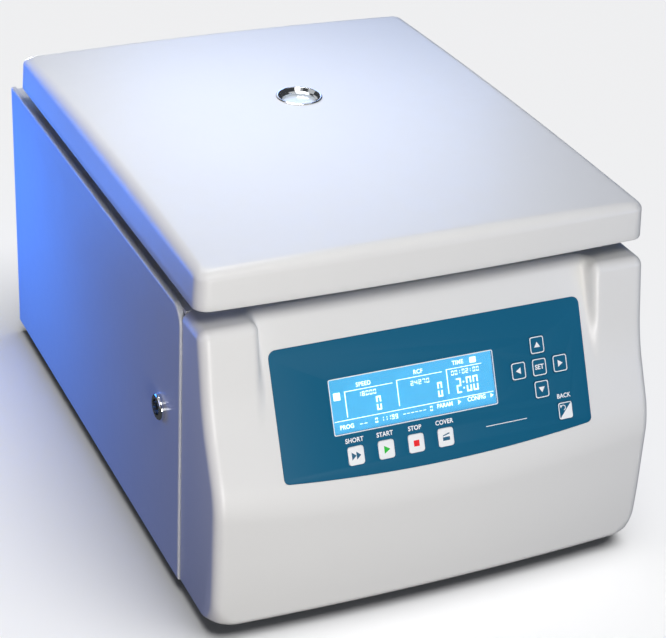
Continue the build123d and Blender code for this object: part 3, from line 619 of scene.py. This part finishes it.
def round_min(a, b, r):
    """Union of two inside-negative fields with a filleted inner corner."""
    u, v = np.maximum(r - a, 0), np.maximum(r - b, 0)
    return np.maximum(r, np.minimum(a, b)) - np.hypot(u, v)


def fascia_field(x, y, z):
    """Negative inside the fascia's outer form, without its rounded ends."""
    control = -(y - PANEL_Y) * cos(TILT) + (z - PANEL_Z) * sin(TILT)
    cheek = -(y - (PF - 36.4)) * cos(CHEEK_TILT) + (z - (BASE + 229.4)) * sin(CHEEK_TILT)
    inner = CHEEK_INNER - np.abs(x)
    face = round_min(control, round_max(cheek, inner, 6.5), 4.0)
    sag = 2.4 * (np.clip(60 + BASE - z, 0, None) / 55.0) ** 2
    chin = -(y - (PF - 79.5 + 6.5 * (x / FASCIA_HALF) ** 2 + sag)) * 0.995
    front = round_max(face, chin, 6.0)
    to_vertex = (FASCIA_HALF - np.abs(x)) / 14.0 - chin / 13.0 + (z - BASE) / 15.0
    front = round_max(front, (1 - to_vertex) * 8.0, 6.0)
    capped = round_max(front, z - DECK, 7.0)
    return round_max(capped, BASE - z, 7.0)


def fascia_profile(x, angles):
    """(y, z) of the fascia's outline at a station x, along rays from a line behind the face."""
    origin_y, origin_z = PF - 6.0, BASE + 112.0
    dy, dz = -np.cos(angles), np.sin(angles)
    low, high = np.zeros_like(angles), np.full_like(angles, 260.0)
    for _ in range(44):
        middle = (low + high) / 2
        outside = fascia_field(x, origin_y + middle * dy, origin_z + middle * dz) > 0
        high = np.where(outside, middle, high)
        low = np.where(outside, low, middle)
    return np.column_stack((origin_y + low * dy, origin_z + low * dz))


def ray_angles():
    """Directions from just behind straight up, round the front, to just behind straight down."""
    start = atan2(124.0, -5.7)
    end = -atan2(112.0, -5.7)
    coarse = np.linspace(start, end, 3000)
    profile = fascia_profile(150.0, coarse)
    middle = fascia_profile(0.0, coarse)
    weight = np.zeros(len(coarse))
    for line in (profile, middle):
        step = np.gradient(line, axis=0)
        heading = np.unwrap(np.arctan2(step[:, 1], step[:, 0]))
        length = np.hypot(*step.T)
        weight += length / 3.0 + np.abs(np.gradient(heading)) * 10.0
    total = np.cumsum(weight)
    return np.interp(np.linspace(total[0], total[-1], 190), total, coarse)


def fascia_stations():
    """Stations across the fascia, closer together where the cheeks rise."""
    edges = (0, 126, 132, 148, 156, FASCIA_HALF - CORNER)
    steps = (5.0, 1.75, 0.8, 1.75, 3.2)
    half = [0.0]
    for a, b, step in zip(edges, edges[1:], steps):
        count = ceil((b - a) / step)
        half += [a + (b - a) * (k + 1) / count for k in range(count)]
    half = np.array(half)
    return np.concatenate((-half[:0:-1], half))


def make_fascia():
    angles = ray_angles()
    xs = fascia_stations()
    columns = []
    for x in xs:
        line = fascia_profile(x, angles)
        columns.append(np.column_stack((np.full(len(line), x), line)))
    for side in (-1, 1):
        extra = []
        for t in np.linspace(0, pi / 2, 11)[1:]:
            station = FASCIA_HALF - CORNER + CORNER * sin(t)
            line = fascia_profile(station, angles)
            step = np.gradient(line, axis=0)
            normal = np.column_stack((step[:, 1], -step[:, 0]))
            normal /= np.linalg.norm(normal, axis=1)[:, None]
            inward = np.array((PF - 6.0, BASE + 112.0)) - line
            normal *= np.sign(np.sum(normal * inward, axis=1))[:, None]
            normal[:, 1] = np.minimum(normal[:, 1], 0.2 * normal[:, 1])
            moved = line + normal * CORNER * (1 - cos(t))
            extra.append(np.column_stack((np.full(len(line), side * station), moved)))
        columns = extra[::-1] + columns if side < 0 else columns + extra
    back = PF - 0.3
    for column in columns:
        column[0, 1] = column[-1, 1] = back
    rows, count = len(columns), len(angles)
    points = np.vstack(columns)
    faces = bands(rows, count, closed_columns=False)
    faces.append(tuple(range(count)))
    faces.append(tuple(range((rows - 1) * count, rows * count)))
    fascia = piece("fascia", points, faces, None, "casing_plastic", 180)
    shell = fascia.modifiers.new("wall", "SOLIDIFY")
    shell.thickness = 2.6 * MM
    shell.offset = -1
    cutters = fascia_cutters()
    for k, cutter in enumerate(cutters):
        cut = fascia.modifiers.new(f"cut{k}", "BOOLEAN")
        cut.operation = "DIFFERENCE"
        cut.solver = "EXACT"
        cut.object = cutter
    bpy.context.view_layer.update()
    mesh = bpy.data.meshes.new_from_object(fascia.evaluated_get(bpy.context.evaluated_depsgraph_get()))
    fascia.modifiers.clear()
    fascia.data = mesh
    mesh.shade_smooth()
    mesh.set_sharp_from_angle(angle=radians(40))
    mesh.materials.clear()
    mesh.materials.append(FINISHES["casing_plastic"])
    for cutter in cutters:
        bpy.data.objects.remove(cutter)
    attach(fascia, "root")
    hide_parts("front_fascia")


def overlay_loop(grow):
    """Outline of the overlay; its lower edge bulges downward."""
    half, side, middle = 129.1 + grow, 98.5 + grow, 105.5 + grow
    sag = middle - side
    radius = (half ** 2 + sag ** 2) / (2 * sag)
    base = [(-half, -grow), (half, -grow), (half, side)]
    for k in range(1, 32):
        x = half * (1 - k / 16)
        base.append((x, middle - radius + sqrt(radius ** 2 - x ** 2)))
    base.append((-half, side))
    radii = [6.0, 6.0, 6.0] + [0.0] * 31 + [6.0]
    return softened(base, radii, 8)


def fascia_cutters():
    """Seat of the overlay, and openings for the display and the keys."""
    cutters = []
    seat = panel_plate([overlay_loop(0.2)], -0.62, 6.0)
    cutters.append(piece("cut_seat", *seat, None, "casing_plastic"))
    x0, x1, s0, s1 = DISPLAY
    holes = [panel_plate([box_loop(x0 - 0.2, x1 + 0.2, s0 - 0.2, s1 + 0.2)], -9.0, 1.0)]
    for _, x, s in key_places():
        across, along = KEY_W / 2 + 0.6, KEY_H / 2 + 0.6
        loop = box_loop(x - across, x + across, s - along, s + along, 2.5)
        holes.append(panel_plate([loop], -9.0, 1.0))
    cutters.append(piece("cut_holes", *joined(holes), None, "casing_plastic"))
    return cutters


# ---- controls -----------------------------------------------------------------------------
def key_places():
    """Name, x and s of the centre of every key."""
    places = [(n, -70.7 + 24.7 * i, 87.6) for i, n in enumerate(("short", "start", "stop", "cover"))]
    for name, column, row in (("up", 0, -1), ("left", -1, 0), ("set", 0, 0), ("right", 1, 0), ("down", 0, 1)):
        places.append((name, 88.7 + column * 18.1, 48.9 + row * 17.2))
    places.append(("back", 107.0, 86.0))
    return places


def make_overlay():
    loops = [overlay_loop(0.0), box_loop(*DISPLAY, 0.8)]
    for _, x, s in key_places():
        loops.append(box_loop(x - KEY_W / 2 - 0.15, x + KEY_W / 2 + 0.15, s - KEY_H / 2 - 0.15,
                              s + KEY_H / 2 + 0.15, 2.1))
    piece("overlay", *panel_plate(loops, -0.6, PRINT_W, 0.08), "root", "overlay_teal",
          replaces=("keypad_overlay",))
    top, proud = PRINT_W + 0.05, PRINT_W - 0.02
    x0, x1, s0, s1 = DISPLAY
    frame_loops = [box_loop(x0 - 0.7, x1 + 0.7, s0 - 0.7, s1 + 0.7, 1.4), box_loop(x0, x1, s0, s1, 0.8)]
    marks = [panel_plate(frame_loops, proud, top)]
    marks.append(panel_plate([box_loop(37.9, 73.2, 85.8, 86.35)], proud, top))
    for name in ("short", "start", "stop", "cover", "back"):
        text = name.upper()
        x, s = next((x, s) for n, x, s in key_places() if n == name)
        marks.append(word(text, 4.8, x, s - 11.5, proud, top, 1.05, 0.92))
    piece("overlay_print", *joined(marks), "root", "key_white", 30, mat=INK_WHITE)


def cap(x, s):
    """Key cap with a softly crowned face, and its plunger."""
    w, h, corner = KEY_W / 2, KEY_H / 2, 2.3
    rings = []
    levels = [(0.0, -1.2), (0.0, 0.15), (0.06, 0.38), (0.22, 0.55), (0.5, 0.66), (1.0, 0.7)]
    for inset, level in levels:
        loop = softened(
            [(-w + inset, -h + inset), (w - inset, -h + inset),
             (w - inset, h - inset), (-w + inset, h - inset)],
            corner - inset * 0.5, 7,
        )
        rings.append(np.column_stack((loop, np.full(len(loop), level))))
    n = len(rings[0])
    faces = bands(len(rings), n)
    faces += [tuple(range(n - 1, -1, -1)), tuple(range((len(rings) - 1) * n, len(rings) * n))]
    points = np.vstack(rings) + np.array((x, s, 0))
    stem = softened([(x - 4, s - 4), (x + 4, s - 4), (x + 4, s + 4), (x - 4, s + 4)], 0.8, 3)
    return joined([(on_panel(points), faces), slab(stem, -4.4, -1.15, 0.2, on_panel)])


def symbol(name, x, s):
    """Loops of the mark on a key, in the control plane."""
    if name == "short":
        return [[(x + u, s - 3.0), (x + u + 3.7, s), (x + u, s + 3.0)] for u in (-3.7, 0.1)]
    if name == "start":
        return [[(x - 2.0, s - 3.0), (x + 2.9, s), (x - 2.0, s + 3.0)]]
    if name == "stop":
        return [box_loop(x - 2.3, x + 2.3, s - 2.3, s + 2.3, 0.15)]
    if name == "cover":
        return [
            [(x - 2.8, s - 0.2), (x + 3.0, s - 0.2), (x + 3.0, s + 2.5), (x - 2.8, s + 2.5)],
            [(x - 2.8, s - 0.8), (x - 2.4, s - 1.7), (x + 3.0, s - 3.2), (x + 3.0, s - 2.3)],
        ]
    turn = {"up": 0, "right": 1, "down": 2, "left": 3}.get(name)
    if turn is None:
        return []
    points = []
    for u, v in ((-2.6, 1.8), (2.6, 1.8), (0, -2.4)):
        a = turn * pi / 2
        points.append((x + u * cos(a) - v * sin(a), s + u * sin(a) + v * cos(a)))
    return [points]


def make_keys():
    top, low = KEY_PROUD + 0.04, KEY_PROUD - 0.03
    for name, x, s in key_places():
        body = "key_" + name
        white = name in ("short", "start", "stop", "cover")
        points, faces = cap(x, s)
        slot = "key_white" if white else "key_teal"
        piece(body + "_cap", points, faces, body, slot, 40, replaces=(body,))
        marks = [panel_plate([loop], low, top) for loop in symbol(name, x, s)]
        ink = {"start": INK_GREEN, "stop": INK_RED}.get(name, INK_TEAL if white else INK_WHITE)
        if not white:
            ring = [
                box_loop(
                    x - KEY_W / 2 + d, x + KEY_W / 2 - d, s - KEY_H / 2 + d, s + KEY_H / 2 - d, 2.0 - d / 2
                )
                for d in (0.6, 1.3)
            ]
            marks.append(panel_plate(ring, low, top))
        if name == "set":
            marks.append(word("SET", 5.2, x, s, low, top, 1.0, 0.95))
        if name == "back":
            marks += back_marks(x, s, low, top)
        piece(body + "_mark", *joined(marks), body, slot, 30, mat=ink)


def back_marks(x, s, low, top):
    """Half of the back key is white; a return arrow stands on its teal half."""
    w, h = KEY_W / 2 - 1.25, KEY_H / 2 - 1.25
    half = softened([(x + w, s - h), (x + w, s + h), (x - w, s + h)], (0.6, 1.6, 0.6), 5)
    arc = [radians(a) for a in np.linspace(-150, 80, 16)]
    cx, cs, r = x - 1.7, s - 2.4, 1.9
    outer = [(cx + (r + 0.3) * cos(a), cs + (r + 0.3) * sin(a)) for a in arc]
    inner = [(cx + (r - 0.3) * cos(a), cs + (r - 0.3) * sin(a)) for a in arc[::-1]]
    tip = [(cx - 2.9, cs - 2.2), (cx - 0.6, cs - 2.1), (cx - 2.2, cs + 0.2)]
    return [panel_plate([loop], low, top) for loop in (half, outer + inner, tip)]


SEGMENTS = {
    "0": "abcdef", "1": "bc", "2": "abged", "3": "abgcd", "4": "fgbc", "5": "afgcd", "6": "afgedc",
    "7": "abc", "8": "abcdefg", "9": "abfgcd", "-": "g",
}


def digit(char, x, s, width, height, stroke):
    """Loops of a display digit whose upper left corner is at (x, s)."""
    if char == ":":
        return [box_loop(x + width / 2 - stroke / 2, x + width / 2 + stroke / 2, s + height * f - stroke / 2,
                         s + height * f + stroke / 2) for f in (0.3, 0.7)]
    t, mid = stroke, height / 2
    bars = {
        "a": (0.0, width, 0.0, t), "d": (0.0, width, height - t, height),
        "g": (0.0, width, mid - t / 2, mid + t / 2),
        "f": (0.0, t, 0.0, mid), "b": (width - t, width, 0.0, mid), "e": (0.0, t, mid, height),
        "c": (width - t, width, mid, height),
    }
    gap = stroke * 0.07
    loops = []
    for k in SEGMENTS[char]:
        a, b, c, d = bars[k]
        if k in "bcef":
            c, d = c + (t + gap if k in "bf" else t / 2 + gap), d - (t / 2 + gap if k in "bf" else t + gap)
            if k in "bf":
                c = c - t - gap + t * 0.5
            else:
                d = d + t + gap - t * 0.5
        loops.append(box_loop(x + a, x + b, s + c, s + d, stroke * 0.3, 3))
    return loops


def number(text, x0, x1, s0, s1, stroke, share=0.72):
    """Loops of a row of display digits that fill a box."""
    step = (x1 - x0) / len(text)
    loops = []
    for i, char in enumerate(text):
        loops += digit(char, x0 + step * i + step * (1 - share) / 2, s0, step * share, s1 - s0, stroke)
    return loops


def make_display():
    x0, x1, s0, s1 = DISPLAY
    pane = box_loop(x0 + 0.12, x1 - 0.12, s0 + 0.12, s1 - 0.12, 0.7)
    piece("display_pane", *slab(pane, -1.2, 0.08, 0.12, on_panel), "root", "lens_clear", 40,
          mat=DISPLAY_PANE, replaces=("lcd_window",))
    film = box_loop(x0 + 0.4, x1 - 0.4, s0 + 0.4, s1 - 0.4, 0.3)
    piece("display_film", *slab(film, -3.3, -1.32, 0.05, on_panel), "root", "display_blue", 40)
    loops = [box_loop(-82.4, -77.0, 39.4, 45.0)]
    fields = ((-73.5, -34.1, 58.7, 39.4), (-31.0, 7.1, 57.9, 38.2), (10.5, 40.7, 56.1, 37.4))
    for corner, end, low, line in fields:
        loops.append([
            (corner, low), (corner, line), (end, line), (end, line + 0.6),
            (corner + 0.8, line + 0.6), (corner + 0.8, low),
        ])
    loops.append(box_loop(x0 + 1.5, x1 - 1.5, 60.3, 60.9))
    loops += number("18000", -63.0, -47.6, 41.6, 45.2, 0.62)
    loops += number("24270", -20.0, -3.6, 41.0, 44.6, 0.62)
    loops += number("00:02:00", 14.2, 38.4, 39.3, 42.9, 0.62)
    loops += number("0", -49.6, -44.0, 47.1, 57.7, 1.25)
    loops += number("0", 1.2, 6.8, 45.7, 57.0, 1.25)
    loops += number("2", 17.4, 22.4, 45.6, 57.1, 1.25, 0.82)
    loops += number(":", 22.6, 25.4, 45.6, 57.1, 1.25, 0.82)
    loops += number("00", 25.6, 36.8, 45.6, 57.1, 1.25, 0.78)
    loops += number("--", -64.5, -57.5, 63.6, 67.2, 0.6)
    loops += number("0", -52.0, -48.9, 63.0, 66.8, 0.75)
    loops += number("11199", -47.0, -32.5, 63.0, 66.6, 0.62)
    loops += number("------", -29.0, -9.0, 62.6, 66.4, 0.6)
    loops += number("0", -6.6, -3.5, 62.4, 66.2, 0.75)
    loops.append([(17.6, 61.7), (20.2, 63.6), (17.6, 65.5)])
    loops.append([(45.2, 61.7), (47.8, 63.3), (45.2, 65.0)])
    loops.append(box_loop(31.0, 36.4, 31.6, 36.0, 0.6))
    low, top = -1.34, -1.27
    marks = [panel_plate([loop], low, top) for loop in loops]
    for text, x, s, spacing in (
        ("SPEED", -57.5, 36.2, 1.1), ("RCF", -12.5, 35.0, 1.1), ("TIME", 21.0, 33.8, 1.1),
        ("PROG", -74.5, 65.6, 1.05), ("PARAM", 6.4, 63.8, 1.0), ("CONFIG", 33.4, 63.3, 1.0),
    ):
        marks.append(word(text, 4.5, x, s, low, top, spacing, 0.92))
    piece("display_marks", *joined(marks), "root", "display_blue", 30, mat=LCD_MARK)


# ---- other pieces -------------------------------------------------------------------------
def make_springs():
    wire, mean = 1.0, 6.0
    x0, x1 = HINGE_X + 4.3, HINGE_X + 16.4
    turns = 5.75
    for side, label in ((-1, "left"), (1, "right")):
        path = [(x0, y, -mean) for y in np.linspace(-15.2, -1.0, 8)]
        count = int(turns * 40)
        for k in range(count + 1):
            a = -pi / 2 + 2 * pi * turns * k / count
            path.append((x0 + (x1 - x0) * k / count, mean * cos(a), mean * sin(a)))
        end_y = path[-1][1]
        last_z = path[-1][2]
        floor_z = DECK + 3.0 - HINGE_Z
        for t in np.linspace(0, 1, 7)[1:]:
            path.append((x1, end_y, last_z + (floor_z + 1.0 - last_z) * t))
        path = np.array(path)
        path[:, 0] *= side
        path[:, 1] += HINGE_Y
        path[:, 2] += HINGE_Z
        spring = piece(f"hinge_spring_{label}", *tube(path, wire), None, "spring_steel", 60)
        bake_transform(spring)
        if side > 0:
            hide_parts("hinge_springs")


def make_feet():
    """Rubber feet with two grip grooves and a screw recess underneath."""
    profile = [
        (0, 4), (4.5, 4), (4.5, 0.6), (6, 0), (12.4, 0), (13.4, 1.2), (13.9, 3.2), (13.2, 3.9), (14.2, 5.2),
        (14.6, 7.2), (13.9, 7.9), (14.9, 9.2), (15, 12), (0, 12),
    ]
    feet = [lathe(profile, x, y, 0, 0.35, 72) for x in (-150, 150) for y in (PF + 16, PF + 412)]
    piece("rubber_feet", *joined(feet), "root", "rubber_black", replaces=("feet",))


def make_fan_guard():
    """Wire guard: three rings welded on a cross of bars, round a hub cap."""
    parts = []
    y = PB + 2.4
    turn = np.arange(96) * 2 * pi / 96
    for r in (20.0, 30.0, 40.0):
        ring = np.column_stack((FAN_X + r * np.cos(turn), np.full(96, y), FAN_Z + r * np.sin(turn)))
        parts.append(tube(ring, 1.0, 12, closed=True))
    for angle in (45, 135, 225, 315):
        a = radians(angle)
        reach = np.array([7.0, 20.0, 40.0, 50.0, 55.0])
        lift = np.array([0.0, -0.2, -0.2, -0.5, -1.2])
        path = np.column_stack((FAN_X + reach * cos(a), y - 0.2 + lift, FAN_Z + reach * sin(a)))
        parts.append(tube(path, 1.1, 12))
        x, z = FAN_X + 55.0 * cos(a), FAN_Z + 55.0 * sin(a)
        tab = [(0, 0.05), (3.4, 0.05), (3.4, 1.5), (2.2, 2.3), (0, 2.5)]
        parts.append(lathe(tab, x, PB, z, 0.3, 40, "Y"))
    hub = [(0, 1.5), (9.2, 1.5), (10, 2.1), (9.4, 3.0), (6, 3.45), (0, 3.5)]
    parts.append(lathe(hub, FAN_X, PB, FAN_Z, 0.4, 72, "Y"))
    piece("fan_wire_guard", *joined(parts), "root", "steel_sheet", replaces=("fan_guard",))


def make_rotor_knob():
    """Fluted knob of the rotor cover; its grip is a ring whose radius dips at eight flutes."""
    z = ROTOR_Z + 60
    profile = softened([
        (0, -13), (8.95, -13), (8.95, 0.2), (15, 0.2), (16, 3), (16, 11), (13, 14), (8, 13.4), (0, 13.4),
    ], 1.0, 4)
    angles = np.arange(192) * 2 * pi / 192
    rings = []
    for r, h in profile:
        deep = 2.2 * np.clip((h - 1.5) / 3, 0, 1) * np.clip((r - 9) / 5, 0, 1)
        reach = max(r, 0) - deep * np.clip(np.cos(8 * angles), 0, 1) ** 1.5
        rings.append(np.column_stack((
            AXIS_X + reach * np.cos(angles), AXIS_Y + reach * np.sin(angles), np.full(192, z + h),
        )))
    faces = bands(len(rings), 192, closed_rows=True)
    piece("rotor_cover_knob", np.vstack(rings), faces, "rotor_knob", "knob_black", 40,
          replaces=("rotor_knob",))


def make_chamber_seal():
    """Bulb seal on the bowl's rim with a thin lip that the lid presses."""
    r, z = 106.0, DECK + 1.5
    profile = [(r - 4.5, 0.0), (r + 1.5, 0.0), (r + 1.5, 2.0), (r + 0.4, 3.2), (r - 0.3, 5.2), (r - 2.4, 5.2),
               (r - 3.4, 3.0), (r - 4.5, 2.2)]
    piece("chamber_bulb_seal", *lathe(profile, AXIS_X, AXIS_Y, z, 0.5, 192), "root", "rubber_black",
          replaces=("chamber_seal",))


def finish_cad_nodes():
    """Every CAD node that is shown takes the finish of its record slot."""
    slots = {part["node"]: part["material_slot"] for part in frame["record"]["subparts"]}
    for name, obj in frame["nodes"].items():
        obj.data.materials.clear()
        obj.data.materials.append(FINISHES[slots[name]])
        obj.data.shade_smooth()
        obj.data.set_sharp_from_angle(angle=radians(30))


# ---- stage --------------------------------------------------------------------------------
def make_floor():
    mesh = bpy.data.meshes.new("floor")
    size = 30.0
    corners = [(-size, -size, 0), (size, -size, 0), (size, size, 0), (-size, size, 0)]
    mesh.from_pydata(corners, [], [(0, 1, 2, 3)])
    mat, _, shader = tree_of("floor")
    shader.inputs["Base Color"].default_value = (0.90, 0.90, 0.905, 1)
    shader.inputs["Roughness"].default_value = 0.85
    mesh.materials.append(mat)
    floor = bpy.data.objects.new("floor", mesh)
    bpy.context.scene.collection.objects.link(floor)
    floor.visible_diffuse = False
    floor.visible_glossy = False
    floor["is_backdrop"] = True
    return floor


def lamp(name, place, target, size, power, colour=(1, 1, 1)):
    light = bpy.data.lights.new(name, "AREA")
    light.energy = power
    light.color = colour
    light.shape = "RECTANGLE"
    light.size, light.size_y = size, size
    obj = bpy.data.objects.new(name, light)
    obj.location = place
    obj.rotation_mode = "QUATERNION"
    obj.rotation_quaternion = (Vector(target) - Vector(place)).to_track_quat("-Z", "Y")
    bpy.context.scene.collection.objects.link(obj)
    obj.visible_camera = False
    return obj


def make_lights(floor):
    """Soft studio light: a key over the lid, a low front softbox, and cool light from behind.

    The floor has a light of its own, so that it stays plain and pale."""
    world = bpy.data.worlds.new("studio")
    world.use_nodes = True
    world.node_tree.nodes["Background"].inputs["Color"].default_value = (0.85, 0.9, 1.0, 1)
    world.node_tree.nodes["Background"].inputs["Strength"].default_value = 0.06
    bpy.context.scene.world = world
    lamps = [
        lamp("key", (-0.09, 0.08, 0.75), (-0.07, 0.07, 0.3), 0.28, 1.75),
        lamp("front", (-0.22, -1.15, 1.45), (-0.03, -0.15, 0.2), 0.6, 10.8, (1.0, 0.99, 0.98)),
        lamp("low", (-0.25, -1.5, 0.10), (0.0, -0.2, 0.16), 0.5, 13.0, (1.0, 0.975, 0.955)),
        lamp("sky", (0.40, 0.9, 0.85), (0.05, 0.08, 0.28), 0.6, 3.5, (0.26, 0.46, 1.0)),
        lamp("right", (0.9, -1.0, 0.5), (0.15, -0.22, 0.2), 0.4, 1.6, (0.30, 0.50, 1.0)),
        lamp("cool_left", (-0.40, 0.28, 0.17), (-0.185, 0.18, 0.13), 0.25, 1.25, (0.035, 0.22, 1.0)),
        lamp("back", (0.0, 1.6, 0.15), (0.0, 0.26, 0.14), 0.24, 6.0, (0.97, 0.98, 1.0)),
        lamp("left", (-1.4, -0.1, 0.5), (-0.185, 0.0, 0.13), 0.6, 2.6, (0.45, 0.47, 1.0)),
    ]
    machine = bpy.data.collections.new("machine")
    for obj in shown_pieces():
        machine.objects.link(obj)
    for obj in lamps:
        obj.light_linking.receiver_collection = machine
    bright = bpy.data.collections.new("bright")
    shiny = [FINISHES[k] for k in ("chrome", "chamber_steel", "anodised", "spring_steel", "steel_sheet")]
    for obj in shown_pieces():
        if obj.type == "MESH" and obj.data.materials and obj.data.materials[0] in shiny + [SIGHT_PANE]:
            bright.objects.link(obj)
    cards = (("card_top", (0, 0, 2.4)), ("card_back", (0.6, 2.4, 1.3)), ("card_left", (-2.4, 0.3, 1.0)))
    for name, place in cards:
        card = lamp(name, place, (0, 0, 0.2), 2.6, 12.0, (0.95, 0.97, 1.0))
        card.light_linking.receiver_collection = bright
    ground = bpy.data.collections.new("ground")
    ground.objects.link(floor)
    light = bpy.data.lights.new("floor_light", "SUN")
    light.energy, light.angle = 3.0, radians(50)
    sun = bpy.data.objects.new("floor_light", light)
    sun.rotation_euler = (radians(12), radians(8), 0)
    bpy.context.scene.collection.objects.link(sun)
    sun.light_linking.receiver_collection = ground
    bpy.context.scene.view_settings.view_transform = "Standard"


def make_camera():
    right = Vector((0.91174, -0.40813, 0.04653))
    down = Vector((-0.16086, -0.45897, -0.87377))
    forward = Vector((0.37796, 0.78916, -0.48412))
    camera = bpy.data.cameras.new("camera")
    camera.sensor_width, camera.lens = 36.0, 103.246
    camera.clip_start, camera.clip_end = 0.05, 60.0
    obj = bpy.data.objects.new("camera", camera)
    turn = Matrix((right, -down, -forward)).transposed()
    obj.matrix_world = Matrix.Translation((-0.6012, -1.3030, 0.9088)) @ turn.to_4x4()
    bpy.context.scene.collection.objects.link(obj)
    bpy.context.scene.camera = obj


finish_cad_nodes()
make_lid()
make_sight_glass()
make_fascia()
make_overlay()
make_keys()
make_display()
make_springs()
make_feet()
make_fan_guard()
make_rotor_knob()
make_chamber_seal()
make_lights(make_floor())
make_camera()

bpy.context.view_layer.update()
